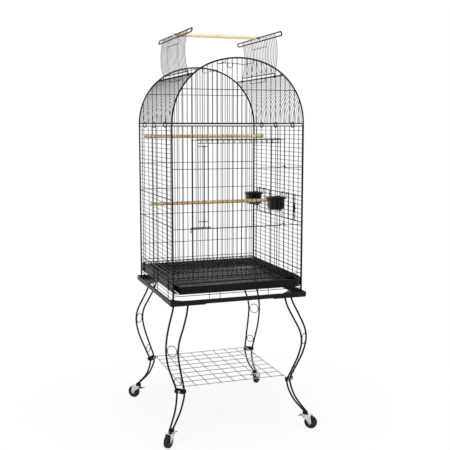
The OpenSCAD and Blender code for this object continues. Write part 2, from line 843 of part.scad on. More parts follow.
// The play perch lies on the two loops in notches cut under its ends. The
// notch slopes on its inner side, so the loop leaves it as the flap comes in.
module play_perch() {
    loop_x = hinge_x + flap_x(flap_h);
    loop_top = hinge_z + flap_h;
    r = play_perch_d / 2;
    seat = loop_d / 2 + seat_gap;
    color(timber) difference() {
        rod_x(-loop_x - 8, loop_x + 8, 0, loop_top + 2, play_perch_d);
        for (s = [0, 1]) mirror([s, 0, 0]) translate([loop_x, 0, loop_top]) rotate([90, 0, 0])
            linear_extrude(play_perch_d + 2, center = true)
                polygon([[-seat, seat], [seat, seat], [seat, -r], [-seat - seat - r, -r]]);
    }
}

// ---------- stand ----------

module stand_frame() {
    inner = cage_w / 2 - ledge_w + 9.5;
    innerd = cage_d / 2 - ledge_w + 9.5;
    color(coat) translate([0, 0, frame_foot]) difference() {
        translate([-frame_hw, -frame_hd, 0]) cube([2 * frame_hw, 2 * frame_hd, angle_h]);
        translate([-frame_hw + angle_t, -frame_hd + angle_t, angle_t])
            cube([2 * (frame_hw - angle_t), 2 * (frame_hd - angle_t), angle_h]);
        translate([-inner, -innerd, -1]) cube([2 * inner, 2 * innerd, angle_h]);
    }
}

module at_corner(sx, sy) {
    translate([sx * frame_hw, sy * frame_hd, 0]) rotate([0, 0, atan2(sy, sx)]) children();
}

module stand_gussets() {
    color(coat) for (sx = [-1, 1]) for (sy = [-1, 1])
        translate([sx * (frame_hw - 1), sy * (frame_hd - 1), leg_top]) linear_extrude(gusset_t - 0.01)
            polygon([[0, 0], [-sx * gusset_w, 0], [0, -sy * gusset_w]]);
}

// A smooth line through the leg's points
function spline(a, b, c, d, t) =
    0.5 * (2 * b + (c - a) * t + (2 * a - 5 * b + 4 * c - d) * t * t + (3 * b - a - 3 * c + d) * t * t * t);

function leg_row(i) = leg_points[max(0, min(len(leg_points) - 1, i))];

// Leg line at a share of its points: share of height, offset, half spread
function leg_at(s) =
    let (i = min(len(leg_points) - 2, floor(s)))
    spline(leg_row(i - 1), leg_row(i), leg_row(i + 1), leg_row(i + 2), s - i);

// A rod's middle line in the corner's frame: outward along the diagonal, then across
function leg_xyz(s, side) =
    let (p = leg_at(s))
    [p[1] * sqrt(2), side * p[2], leg_foot + p[0] * (leg_top - leg_foot)];

function unit(v) = v / norm(v);

// The rod's radius over its corners
leg_r = leg_d / 2 / cos(180 / leg_sides);

// One section of the rod as a ring of points; the first and the last lie level
function leg_section(k, side) =
    let (
        s = k * (len(leg_points) - 1) / sections_n,
        e = 0.02,
        along = leg_xyz(min(s + e, len(leg_points) - 1), side) - leg_xyz(max(s - e, 0), side),
        dir = k == 0 || k == sections_n ? [0, 0, 1] : unit(along),
        across = unit(cross([0, 1, 0], dir)),
        up = cross(dir, across)
    )
    [for (j = [0 : leg_sides - 1])
        let (a = (j + 0.5) * 360 / leg_sides) leg_xyz(s, side) + leg_r * (cos(a) * across + sin(a) * up)];

module leg_rod(side) {
    n = leg_sides;
    points = [for (k = [0 : sections_n]) for (p = leg_section(k, side)) p];
    walls = [for (k = [0 : sections_n - 1]) for (j = [0 : n - 1])
        [k * n + j, (k + 1) * n + j, (k + 1) * n + (j + 1) % n, k * n + (j + 1) % n]];
    foot = [for (j = [0 : n - 1]) j];
    top = [for (j = [n - 1 : -1 : 0]) sections_n * n + j];
    polyhedron(points, concat(walls, [foot], [top]), convexity = 10);
}

module leg(sx, sy) {
    color(coat) at_corner(sx, sy) for (side = [-1, 1]) leg_rod(side);
}

module leg_front_left() {
    leg(-1, -1);
}

module leg_front_right() {
    leg(1, -1);
}

module leg_back_left() {
    leg(-1, 1);
}

module leg_back_right() {
    leg(1, 1);
}

// Point on the leg line where it reaches a share of the leg's height
function leg_s(t, s = 0) = leg_at(s)[0] >= t || s >= len(leg_points) - 1 ? s : leg_s(t, s + 0.02);

ring_wire = 3;

// Small wire rings between the two rods of each leg
module leg_rings() {
    color(bare) for (sx = [-1, 1]) for (sy = [-1, 1]) at_corner(sx, sy) for (t = ring_heights) {
        p = leg_xyz(leg_s(t), 1);
        r = p[1] - leg_d / 2 - seat_gap - ring_wire / 2;
        translate([p[0], 0, p[2]]) rotate([0, 90, 0])
            rotate_extrude($fn = round_fn) translate([r, 0]) circle(d = ring_wire, $fn = wire_fn);
    }
}

foot_offset = leg_points[0][1] * sqrt(2);
socket_d = 2 * leg_points[0][2] + leg_d + 4;
socket_z = leg_foot - socket_h;

module at_caster(sx, sy) {
    at_corner(sx, sy) translate([foot_offset, 0, 0]) children();
}

module foot_sockets() {
    color(coat) for (sx = [-1, 1]) for (sy = [-1, 1]) at_caster(sx, sy) difference() {
        translate([0, 0, socket_z]) cylinder(d = socket_d, h = socket_h - 0.01, $fn = round_fn);
        translate([0, 0, socket_z - 1]) cylinder(d = stem_d + 2 * run_gap, h = socket_h - 1, $fn = round_fn);
    }
}

// Two plates that pinch the leg's rods together at the knee, held by a screw
// that goes on through the shelf's eye
knee = leg_xyz(leg_s(knee_t), 1);
clamp_w = 2 * knee.y + leg_d + 4;
clamp_h = 14;
clamp_t = 2.5;
clamp_screw_d = 5;
// Reach of the bent rods over the plates' height
clamp_share = clamp_h / 2 / (leg_top - leg_foot);
knee_reach = [for (h = [-1 : 0.5 : 1]) leg_xyz(leg_s(knee_t + h * clamp_share), 1).x];
clamp_in = min(knee_reach) - leg_r - 2 * seat_gap;
clamp_out = max(knee_reach) + leg_r + 2 * seat_gap;

module knee_clamps() {
    color(coat) for (sx = [-1, 1]) for (sy = [-1, 1]) at_corner(sx, sy)
        for (x = [clamp_in - clamp_t / 2, clamp_out + clamp_t / 2])
            translate([x, 0, knee.z]) difference() {
                cube([clamp_t, clamp_w, clamp_h], center = true);
                rotate([0, 90, 0])
                    cylinder(d = clamp_screw_d + 2 * run_gap, h = 4 * clamp_t, center = true, $fn = wire_fn);
            }
}

// The inner plate's and the outer plate's free faces
plate_in = clamp_in - clamp_t;
plate_out = clamp_out + clamp_t;
// The shelf's eye stands on the inner plate, and the nut on the eye
eye_x = plate_in - seat_gap - shelf_wire;
nut_x = eye_x - seat_gap;
nut_t = 4;

module clamp_screws() {
    color(bare) for (sx = [-1, 1]) for (sy = [-1, 1]) at_corner(sx, sy) union() {
        rod_x(nut_x - nut_t - 1, plate_out + 1, 0, knee.z, clamp_screw_d);
        rod_x(plate_out + seat_gap, plate_out + 3.5, 0, knee.z, 2 * clamp_screw_d);
        translate([nut_x - nut_t, 0, knee.z]) rotate([0, 90, 0])
            cylinder(d = 1.8 * clamp_screw_d, h = nut_t, $fn = 6);
    }
}

// ---------- shelf ----------

// Space between the stand frame's outer faces and the shelf's outer wires
shelf_inset = 62.3;
shelf_hw = frame_hw - shelf_inset;
shelf_hd = frame_hd - shelf_inset;
cells_x = round(2 * shelf_hw / shelf_cell);
cells_y = round(2 * shelf_hd / shelf_cell);
// The lower layer of wires lies across the upper one
lower_z = shelf_z - shelf_wire + weld;
eye_w = 11;

// A corner wire of the shelf, out to an upright eye for the clamp's screw
module shelf_eye() {
    arm_z = shelf_z - shelf_wire;
    bar_x(-shelf_inset * sqrt(2) - 8, eye_x, 0, arm_z, shelf_wire);
    difference() {
        translate([eye_x, -eye_w / 2, min(arm_z, knee.z) - eye_w / 2])
            cube([shelf_wire, eye_w, abs(knee.z - arm_z) + eye_w]);
        translate([eye_x - 1, 0, knee.z]) rotate([0, 90, 0])
            cylinder(d = clamp_screw_d + 2 * run_gap, h = shelf_wire + 2, $fn = wire_fn);
    }
}

module shelf() {
    over = 2;
    color(bare) union() {
        for (i = [0 : cells_y]) {
            y = -shelf_hd + i * 2 * shelf_hd / cells_y;
            rod_x(-shelf_hw - over, shelf_hw + over, y, shelf_z, shelf_wire);
        }
        for (i = [0 : cells_x]) {
            x = -shelf_hw + i * 2 * shelf_hw / cells_x;
            bar_y(x, -shelf_hd - over, shelf_hd + over, lower_z, shelf_wire);
        }
        for (sx = [-1, 1]) for (sy = [-1, 1]) at_corner(sx, sy) shelf_eye();
    }
}

// ---------- casters ----------

fork_gap = 0.7;
arm_t = 2.2;
arm_y = wheel_w / 2 + fork_gap;
plate_z = wheel_d + 1.5;
plate_t = socket_z - seat_gap - plate_z;
pivot_x = -3;
pivot_z = wheel_d - 4;
pivot_d = 3;

module caster_fork() {
    color(bare) difference() {
        union() {
            translate([0, 0, plate_z]) cylinder(d = socket_d, h = plate_t, $fn = round_fn);
            translate([0, 0, plate_z + plate_t / 2])
                cylinder(d = stem_d, h = plate_t / 2 + socket_h - 2, $fn = round_fn);
            translate([pivot_x - 5, -arm_y - arm_t, plate_z])
                cube([trail + 8 - pivot_x, 2 * (arm_y + arm_t), plate_t]);
            for (s = [-1, 1]) translate([0, s * (arm_y + arm_t / 2), 0]) rotate([90, 0, 0])
                linear_extrude(arm_t, center = true) fork_arm();
        }
        translate([trail, 0, wheel_d / 2]) rotate([90, 0, 0])
            cylinder(d = axle_d + 2 * run_gap, h = 60, center = true, $fn = wire_fn);
        translate([pivot_x, 0, pivot_z]) rotate([90, 0, 0])
            cylinder(d = pivot_d + 2 * run_gap, h = 60, center = true, $fn = wire_fn);
    }
}

// Side view of a fork arm
module fork_arm() {
    polygon([
        [pivot_x - 5, plate_z + 0.5], [pivot_x - 5, pivot_z - 4], [pivot_x + 2, pivot_z - 5],
        [trail - 6.5, wheel_d / 2], [trail + 6.5, wheel_d / 2], [trail + 3, plate_z + 0.5]
    ]);
    translate([trail, wheel_d / 2]) circle(r = 6.5, $fn = round_fn);
}

module caster_axle() {
    reach = arm_y + arm_t;
    color(bare) translate([trail, 0, wheel_d / 2]) rotate([90, 0, 0]) union() {
        cylinder(d = axle_d, h = 2 * reach + 3, center = true, $fn = wire_fn);
        for (s = [-1, 1]) translate([0, 0, s * (reach + seat_gap + 1)])
            cylinder(d = axle_d + 3, h = 2, center = true, $fn = wire_fn);
    }
}

// A wheel with a rounded tyre and a dished hub
module caster_wheel() {
    r = wheel_d / 2;
    w = wheel_w / 2;
    color([0.08, 0.08, 0.08]) translate([trail, 0, r]) rotate([90, 0, 0]) rotate_extrude($fn = 72) polygon([
        [axle_d / 2 + run_gap, -w], [7, -w], [9, -w + 3],
        [r - 8, -w + 3], [r - 6, -w + 1], [r - 2, -w + 1.5], [r, -w + 4],
        [r, w - 4], [r - 2, w - 1.5], [r - 6, w - 1], [r - 8, w - 3],
        [9, w - 3], [7, w], [axle_d / 2 + run_gap, w]
    ]);
}

// A rocker with a shoe that presses on the tyre and two splayed tabs
module brake_lever() {
    lever_w = wheel_w - 4;
    color(coat) union() {
        translate([pivot_x, 0, pivot_z]) rotate([90, 0, 0])
            cylinder(d = pivot_d, h = 2 * (arm_y + arm_t), center = true, $fn = wire_fn);
        translate([pivot_x, 0, pivot_z]) rotate([90, 0, 0])
            cylinder(d = 7, h = lever_w, center = true, $fn = wire_fn);
        rotate([90, 0, 0]) linear_extrude(lever_w - 1, center = true) polygon([
            [pivot_x - 2, pivot_z - 10], [pivot_x + 0.8, pivot_z - 10], [pivot_x + 0.8, pivot_z + 1],
            [pivot_x - 12, pivot_z + 1], [pivot_x - 12, pivot_z - 1.2], [pivot_x - 2, pivot_z - 1.2]
        ]);
        translate([0, 0, pivot_z - 1.2]) linear_extrude(2.2) for (s = [-1, 1]) polygon([
            [pivot_x - 11, s * 0.5], [pivot_x - 11, s * 5.6], [pivot_x - 23, s * 11], [pivot_x - 25, s * 6.5]
        ]);
    }
}

module caster_fork_front_left() { at_caster(-1, -1) caster_fork(); }
module caster_fork_front_right() { at_caster(1, -1) caster_fork(); }
module caster_fork_back_left() { at_caster(-1, 1) caster_fork(); }
module caster_fork_back_right() { at_caster(1, 1) caster_fork(); }
module caster_axle_front_left() { at_caster(-1, -1) caster_axle(); }
module caster_axle_front_right() { at_caster(1, -1) caster_axle(); }
module caster_axle_back_left() { at_caster(-1, 1) caster_axle(); }
module caster_axle_back_right() { at_caster(1, 1) caster_axle(); }
module caster_wheel_front_left() { at_caster(-1, -1) caster_wheel(); }
module caster_wheel_front_right() { at_caster(1, -1) caster_wheel(); }
module caster_wheel_back_left() { at_caster(-1, 1) caster_wheel(); }
module caster_wheel_back_right() { at_caster(1, 1) caster_wheel(); }
module brake_lever_front_left() { at_caster(-1, -1) brake_lever(); }
module brake_lever_front_right() { at_caster(1, -1) brake_lever(); }
module brake_lever_back_left() { at_caster(-1, 1) brake_lever(); }
module brake_lever_back_right() { at_caster(1, 1) brake_lever(); }

stand_frame();
stand_gussets();
leg_front_left();
leg_front_right();
leg_back_left();
leg_back_right();
leg_rings();
foot_sockets();
knee_clamps();
clamp_screws();
shelf();
front_posts();
front_panel();
front_skirt();
back_panel();
left_panel();
right_panel();
tray_runners();
tray();
grate();
dome_front();
dome_back();
roof_left();
roof_right();
crown_ledges();
dome_clips();
roof_flap_left();
roof_flap_right();
play_perch();
perch_upper();
perch_lower();
perch_screws();
front_door();
door_scrolls();
door_knuckles();
door_latch();
feeder_door_front();
feeder_door_rear();
cup_front();
cup_rear();
cup_holder_front();
cup_holder_rear();
caster_fork_front_left();
caster_fork_front_right();
caster_fork_back_left();
caster_fork_back_right();
caster_axle_front_left();
caster_axle_front_right();
caster_axle_back_left();
caster_axle_back_right();
caster_wheel_front_left();
caster_wheel_front_right();
caster_wheel_back_left();
caster_wheel_back_right();
brake_lever_front_left();
brake_lever_front_right();
brake_lever_back_left();
brake_lever_back_right();
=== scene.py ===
# Bird cage on a rolling four-legged stand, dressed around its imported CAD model.
# Lengths in this file are millimetres unless a comment says otherwise.
from math import asin, atan, atan2, cos, pi, radians, sin, sqrt

import bmesh
import bpy
from mathutils import Matrix, Vector


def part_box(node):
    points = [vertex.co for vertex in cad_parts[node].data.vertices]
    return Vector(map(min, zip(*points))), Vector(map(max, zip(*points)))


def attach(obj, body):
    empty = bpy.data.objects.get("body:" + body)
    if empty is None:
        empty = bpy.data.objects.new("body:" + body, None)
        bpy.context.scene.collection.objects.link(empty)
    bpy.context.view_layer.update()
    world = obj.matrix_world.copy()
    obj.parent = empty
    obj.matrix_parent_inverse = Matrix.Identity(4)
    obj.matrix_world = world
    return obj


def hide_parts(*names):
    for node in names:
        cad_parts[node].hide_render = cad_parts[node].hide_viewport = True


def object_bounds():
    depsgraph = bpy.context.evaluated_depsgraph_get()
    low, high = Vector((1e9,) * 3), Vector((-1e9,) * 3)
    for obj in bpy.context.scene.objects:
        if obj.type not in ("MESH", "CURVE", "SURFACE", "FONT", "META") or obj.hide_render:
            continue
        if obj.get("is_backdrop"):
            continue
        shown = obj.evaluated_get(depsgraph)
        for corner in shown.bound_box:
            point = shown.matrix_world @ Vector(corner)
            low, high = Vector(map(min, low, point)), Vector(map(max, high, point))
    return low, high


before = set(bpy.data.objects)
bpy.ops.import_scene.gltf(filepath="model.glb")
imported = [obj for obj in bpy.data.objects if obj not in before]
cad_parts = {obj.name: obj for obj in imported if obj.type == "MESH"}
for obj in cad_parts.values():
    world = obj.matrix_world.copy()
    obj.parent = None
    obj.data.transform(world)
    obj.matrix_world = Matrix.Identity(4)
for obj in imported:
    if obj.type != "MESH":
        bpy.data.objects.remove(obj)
cad_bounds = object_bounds()
scene = bpy.context.scene
MM = 0.001
GAP = 0.3  # air between pieces that only touch
SINK = 0.4  # how deep two welded wires are pressed into each other
STUB = 2.0  # how far a wire runs past the one it is welded to


def add(name, data):
    """A new object in the scene."""
    made = bpy.data.objects.new(name, data)
    scene.collection.objects.link(made)
    return made


# ---------- camera ----------
# Eye height and a little to the left of the cage, far enough back that the
# upright wires stay nearly parallel. The place is in metres.
turn, dip = radians(19.26), radians(7.25)
looks = Vector((sin(turn) * cos(dip), cos(turn) * cos(dip), -sin(dip)))
eye = add("viewpoint", bpy.data.cameras.new("viewpoint"))
eye.data.lens = 61.65
eye.data.sensor_width = 36.0
eye.location = (-0.970, -2.869, 1.1535)
eye.rotation_euler = looks.to_track_quat("-Z", "Y").to_euler()
scene.camera = eye
scene.view_settings.view_transform = "Standard"


# ---------- studio: white floor, white room, soft lamps ----------
# A matt white floor that takes the shadow of the wheels and melts into a
# white room. Lamps and room together light a surface at about its own colour.
def tone(code):
    """A colour written as sRGB hex, turned to linear."""
    parts = [int(code[i : i + 2], 16) / 255 for i in (1, 3, 5)]
    linear = [c / 12.92 if c <= 0.04045 else ((c + 0.055) / 1.055) ** 2.4 for c in parts]
    return (*linear, 1.0)


def put(tree, kind, inputs=None, **settings):
    """Adds one node with its settings; an input is a constant or another node's output."""
    made = tree.nodes.new(kind)
    for key, value in settings.items():
        setattr(made, key, value)
    for key, value in (inputs or {}).items():
        if isinstance(value, bpy.types.NodeSocket):
            tree.links.new(value, made.inputs[key])
        else:
            made.inputs[key].default_value = value
    return made


def maths(tree, operation, *values):
    """The output of a maths node."""
    return put(tree, "ShaderNodeMath", dict(enumerate(values)), operation=operation).outputs[0]


def ranged(tree, value, low, high, start=0.0, stop=1.0):
    """The output of a node that maps low to start and high to stop."""
    span = {"Value": value, "From Min": low, "From Max": high, "To Min": start, "To Max": stop}
    return put(tree, "ShaderNodeMapRange", span).outputs[0]


def blend(tree, factor, first, second):
    """The output of a node that mixes two colours."""
    return put(tree, "ShaderNodeMix", {"Factor": factor, 6: first, 7: second}, data_type="RGBA").outputs[2]


def seen_by(tree, *kinds):
    """1 for these kinds of ray, 0 for the others."""
    rays = put(tree, "ShaderNodeLightPath").outputs
    seen = rays[kinds[0]]
    for kind in kinds[1:]:
        seen = maths(tree, "MAXIMUM", seen, rays[kind])
    return seen


def blank(owner):
    """The emptied node tree of a material or a world."""
    owner.use_nodes = True
    owner.node_tree.nodes.clear()
    return owner.node_tree


# Room: it looks white, and lights the cage at about half of that
ambient = 0.52
scene.world = bpy.data.worlds.new("white_room")
tree = blank(scene.world)
seen = seen_by(tree, "Is Camera Ray", "Is Glossy Ray", "Is Transmission Ray")
strength = ranged(tree, seen, 0, 1, ambient, 1)
glow = put(tree, "ShaderNodeBackground", {"Color": (1, 1, 1, 1), "Strength": strength})
put(tree, "ShaderNodeOutputWorld", {"Surface": glow.outputs[0]})

# Floor: matt white paint near the cage, fading into the room's white further
# out. Half its side, and the reach of the fade, are in metres
floor_half = 6.0
SQUARE = ((-1, -1), (1, -1), (1, 1), (-1, 1))
floor_mat = bpy.data.materials.new("matt_white_floor")
tree = blank(floor_mat)
place = put(tree, "ShaderNodeTexCoord").outputs["Object"]
reach = put(tree, "ShaderNodeVectorMath", {0: place}, operation="LENGTH").outputs["Value"]
fade = ranged(tree, reach, 0.35, 1.0, 0.85, 1.0)
share = maths(tree, "MULTIPLY", fade, seen_by(tree, "Is Camera Ray", "Is Glossy Ray"))
paint = put(tree, "ShaderNodeBsdfDiffuse", {"Color": tone("#f4f4f4")}).outputs[0]
light = put(tree, "ShaderNodeEmission", {"Color": (1, 1, 1, 1), "Strength": 1.0}).outputs[0]
mixed = put(tree, "ShaderNodeMixShader", {"Fac": share, 1: paint, 2: light})
put(tree, "ShaderNodeOutputMaterial", {"Surface": mixed.outputs[0]})
floor_mesh = bpy.data.meshes.new("floor")
floor_mesh.from_pydata([(x * floor_half, y * floor_half, 0) for x, y in SQUARE], [], [(0, 1, 2, 3)])
floor_mesh.materials.append(floor_mat)
floor = add("floor", floor_mesh)
floor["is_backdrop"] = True

# Lamps: name, where it stands (metres), power, width and height (metres). The
# two tall ones in front draw upright streaks on the cups and the posts
for name, at, power, width, height in (
    ("key_softbox", (-2.6, -2.2, 2.1), 58, 0.9, 3.2),
    ("fill_softbox", (2.4, -2.2, 1.5), 26, 0.8, 2.6),
    ("top_softbox", (0.0, -0.6, 3.4), 26, 1.6, 1.6),
    ("rim_softbox", (0.6, 2.6, 2.6), 22, 1.6, 1.6),
):
    lamp = add(name, bpy.data.lights.new(name, "AREA"))
    lamp.data.energy = power
    lamp.data.shape = "RECTANGLE"
    lamp.data.size, lamp.data.size_y = width, height
    lamp.location = at
    lamp.rotation_euler = (Vector((0, 0, 0.75)) - Vector(at)).to_track_quat("-Z", "Y").to_euler()


# ---------- shapes ----------
# A shape is a list of points and a list of faces. These make the closed shapes
# that the pressed, turned and moulded pieces consist of.
def box(node):
    """The two corners of a CAD node's box."""
    return [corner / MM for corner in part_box(node)]


def edge(node, axis, side):
    """Where a CAD node begins (side 0) or ends (side 1) along an axis."""
    return box(node)[side]["xyz".index(axis)]


def shift(x, y, z):
    return Matrix.Translation((x, y, z))


def spin(degrees, axis):
    return Matrix.Rotation(radians(degrees), 4, axis)


def ring(r, n, start=0.0, step=None, x=0.0, y=0.0):
    """n points on a circle round (x, y), angles in degrees."""
    angles = [radians(start + k * (step or 360 / n)) for k in range(n)]
    return [(x + r * cos(a), y + r * sin(a)) for a in angles]


def mirrored(half, middle=()):
    """A row of points, its middle, and the same row back with its sign turned."""
    return [*half, *middle, *((r, -z) for r, z in reversed(half))]


def raised(foot, rows):
    """The same rows of (radius or inset, height), counted from a foot."""
    return [(r, foot + z) for r, z in rows]


def skin(rows, joined):
    """Rings of points with the same count, open at the ends or joined to a loop."""
    n = len(rows[0])
    faces = []
    for i in range(len(rows) if joined else len(rows) - 1):
        here, there = i * n, (i + 1) % len(rows) * n
        faces += [(here + k, here + (k + 1) % n, there + (k + 1) % n, there + k) for k in range(n)]
    return [tuple(p) for row in rows for p in row], faces


def loft(rows):
    """A skin with a flat face at each end."""
    verts, faces = skin(rows, False)
    n = len(rows[0])
    return verts, [*faces, tuple(range(n - 1, -1, -1)), tuple(range(len(verts) - n, len(verts)))]


def turned(profile, segments):
    """A shape turned around Z from (radius, height) points. It closes on itself
    as a ring, or ends in two poles where the first and last radius are zero."""
    poles = profile[0][0] == 0 and profile[-1][0] == 0
    rows = profile[1:-1] if poles else profile
    verts, faces = skin([[(x, y, z) for x, y in ring(r, segments)] for r, z in rows], not poles)
    if poles:
        pole, last = len(verts), len(verts) - segments
        for k in range(segments):
            n = (k + 1) % segments
            faces += [(pole, n, k), (pole + 1, last + k, last + n)]
        verts += [(0, 0, profile[0][1]), (0, 0, profile[-1][1])]
    return verts, faces


def prism(outline, thickness, bevel=0.0):
    """A flat plate with this outline in XY, centred on z = 0, edges rounded."""
    shape = bmesh.new()
    face = shape.faces.new([shape.verts.new((x, y, -thickness / 2)) for x, y in outline])
    top = bmesh.ops.extrude_face_region(shape, geom=[face])["geom"]
    top = [v for v in top if isinstance(v, bmesh.types.BMVert)]
    bmesh.ops.translate(shape, verts=top, vec=(0, 0, thickness))
    bmesh.ops.recalc_face_normals(shape, faces=shape.faces)
    if bevel:
        edges = shape.edges[:]
        bmesh.ops.bevel(shape, geom=edges, offset=bevel, segments=2, affect="EDGES", clamp_overlap=True)
    shape.verts.index_update()
    parts = [v.co[:] for v in shape.verts], [[v.index for v in f.verts] for f in shape.faces]
    shape.free()
    return parts


def rounded(w, h, r, n=5):
    """Outline of a rectangle with round corners."""
    u, v = w / 2 - r, h / 2 - r
    corners = ((u, v, 0), (-u, v, 90), (-u, -v, 180), (u, -v, 270))
    return [p for x, y, start in corners for p in ring(r, n + 1, start, 90 / n, x, y)]


def moved(shape, matrix):
    """The same shape somewhere else."""
    return [tuple(matrix @ Vector(v)) for v in shape[0]], shape[1]


def solid(name, shapes):
    """A mesh made of closed shapes, its normals facing out."""
    verts, faces = [], []
    for points, sides in shapes:
        faces += [[i + len(verts) for i in one] for one in sides]
        verts += [Vector(p) * MM for p in points]
    mesh = bpy.data.meshes.new(name)
    mesh.from_pydata(verts, [], faces)
    clean = bmesh.new()
    clean.from_mesh(mesh)
    bmesh.ops.recalc_face_normals(clean, faces=clean.faces)
    clean.to_mesh(mesh)
    clean.free()
    return mesh


def join_frame(made, body, stands_for):
    """Gives a piece its body, and hides the CAD nodes it stands for."""
    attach(made, body)
    if stands_for:
        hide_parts(*stands_for)
    return made


def piece(name, body, material, shapes, stands_for=(), sharp=40):
    """One finished piece made of closed shapes."""
    mesh = solid(name, shapes)
    mesh.materials.append(material)
    mesh.shade_smooth()
    mesh.set_sharp_from_angle(angle=radians(sharp))
    return join_frame(add(name, mesh), body, stands_for)


# ---------- finishes ----------
def new_material(name):
    """A material with an empty Principled shader, and the place on the object."""
    made = bpy.data.materials.new(name)
    tree = blank(made)
    shader = put(tree, "ShaderNodeBsdfPrincipled")
    put(tree, "ShaderNodeOutputMaterial", {"Surface": shader.outputs[0]})
    return made, tree, shader.inputs, put(tree, "ShaderNodeTexCoord").outputs["Object"]


def speckle(tree, place, size, detail=2.0, squeeze=(1, 1, 1)):
    """Noise with features of a size in millimetres, drawn out along an axis."""
    spread = put(tree, "ShaderNodeMapping", {"Vector": place, "Scale": squeeze}).outputs[0]
    noise = {"Vector": spread, "Scale": 1 / (size * MM), "Detail": detail}
    return put(tree, "ShaderNodeTexNoise", noise).outputs["Fac"]


def relief(tree, height, depth):
    """Stands a pattern out of the surface by a depth in millimetres."""
    bump = {"Height": height, "Distance": depth * MM, "Strength": 1.0}
    return put(tree, "ShaderNodeBump", bump).outputs[0]


def finish(name, colour, other, mottle, rough, rough_range, grain, depth, metallic=0.0, ior=1.5):
    """A painted, plated or moulded surface: its colour drifts to another one in
    patches, its roughness drifts with them, and a fine grain stands in relief.
    mottle, grain and depth are the sizes of patches, grain and relief in mm."""
    made, tree, shader, place = new_material(name)
    patches = speckle(tree, place, mottle, 3.0)
    shade = blend(tree, ranged(tree, patches, 0.35, 0.65), tone(colour), tone(other))
    tree.links.new(shade, shader["Base Color"])
    tree.links.new(ranged(tree, patches, 0.3, 0.7, rough, rough + rough_range), shader["Roughness"])
    tree.links.new(relief(tree, speckle(tree, place, grain), depth), shader["Normal"])
    shader["Metallic"].default_value = metallic
    shader["IOR"].default_value = ior
    return made


# Tyre: hard black rubber, matt with dust in its pores
rubber = finish("black_hard_rubber", "#0c0c0d", "#161617", 3.0, 0.62, 0.18, 0.5, 0.03, ior=1.35)
# Yoke: chrome plate over pressed steel, bright with faint dull clouds
chrome = finish(
    "chrome_plated_pressed_steel", "#d4d6d9", "#b9bcc0", 9.0, 0.12, 0.14, 1.6, 0.004, metallic=1.0
)
# Axle, screws and nuts: zinc plate, greyer and duller, with a crystal bloom
zinc = finish("zinc_plated_steel", "#b4b7bb", "#8f9398", 2.4, 0.28, 0.2, 0.7, 0.01, metallic=1.0)
# Brake rocker and wheel disc: satin black moulded nylon
black_nylon = finish("satin_black_moulded_nylon", "#0b0b0c", "#151516", 5.0, 0.36, 0.14, 0.9, 0.012, ior=1.35)
# Foot caps, clamps and welds: black powder coat over a rough casting
cast_black = finish("black_powder_coated_casting", "#0a0a0b", "#151516", 4.0, 0.42, 0.16, 0.8, 0.03, ior=1.22)
# Black powder coat on wire and rod: deep black, semi-gloss, a faint orange peel
# 1.5 mm wide and a slightly greyer bloom where the coat is thin
coat_black = finish(
    "black_powder_coated_steel_wire", "#08080a", "#121213", 6.0, 0.34, 0.16, 1.5, 0.02, ior=1.22
)
# Angle iron: black powder coat over mill scale, in long soft patches
angle_black = finish(
    "black_powder_coated_angle_iron", "#0c0c0d", "#171718", 14.0, 0.3, 0.18, 1.6, 0.03, ior=1.22
)
# Leg rings and shelf: zinc coat, dull grey on the rings and brighter on the shelf
ring_grey = finish("grey_zinc_coated_wire", "#66686b", "#4b4d50", 5.0, 0.34, 0.2, 0.9, 0.012, metallic=0.6)
shelf_grey = finish("bright_zinc_coated_wire", "#a6a8ab", "#8c8e92", 7.0, 0.3, 0.2, 0.9, 0.012, metallic=0.7)
# Tray and cups: drawn sheet with a soft gloss, and moulded plastic with a hard one
gloss_tray = finish(
    "glossy_black_drawn_polystyrene", "#060607", "#0c0c0d", 30.0, 0.14, 0.12, 2.5, 0.01, ior=1.2
)
cup_gloss = finish(
    "glossy_black_moulded_plastic", "#050506", "#09090a", 20.0, 0.04, 0.04, 3.0, 0.004, ior=1.28
)

# ---------- casters ----------
# Four swivelling stem casters: a hard rubber tyre on a black nylon disc, a
# pressed yoke with bright plating, a riveted axle, and a black brake rocker
# with two splayed tabs that turns on a pin through the yoke.
CORNERS = (("front_left", -1, -1), ("front_right", 1, -1), ("back_left", -1, 1), ("back_right", 1, 1))
corner_at = edge("stand_frame", "x", 1)
foot_out = 2.0  # how far the stems stand outside the frame's corners, each way
wheel_d = edge("caster_wheel_front_left", "z", 1)
tyre_r = wheel_d / 2
wheel_w = 18.0
trail = 22.5
socket_z, socket_top = (corner.z for corner in box("foot_sockets"))
stem_top = socket_z + 6.4
plate_z = wheel_d + 1.5
plate_t = socket_z - GAP - plate_z
arm_y = wheel_w / 2 + 0.7
arm_t = 2.2
yoke_hw = arm_y + arm_t
pivot_x, pivot_z = -3.0, wheel_d - 4
on_axle = shift(trail, 0, tyre_r) @ spin(90, "X")


def corner_place(sx, sy, out=0.0):
    """A corner of the frame, moved outwards, with X running out on the diagonal."""
    side = corner_at + out
    return shift(sx * side, sy * side, 0) @ Matrix.Rotation(atan2(sy, sx), 4, "Z")


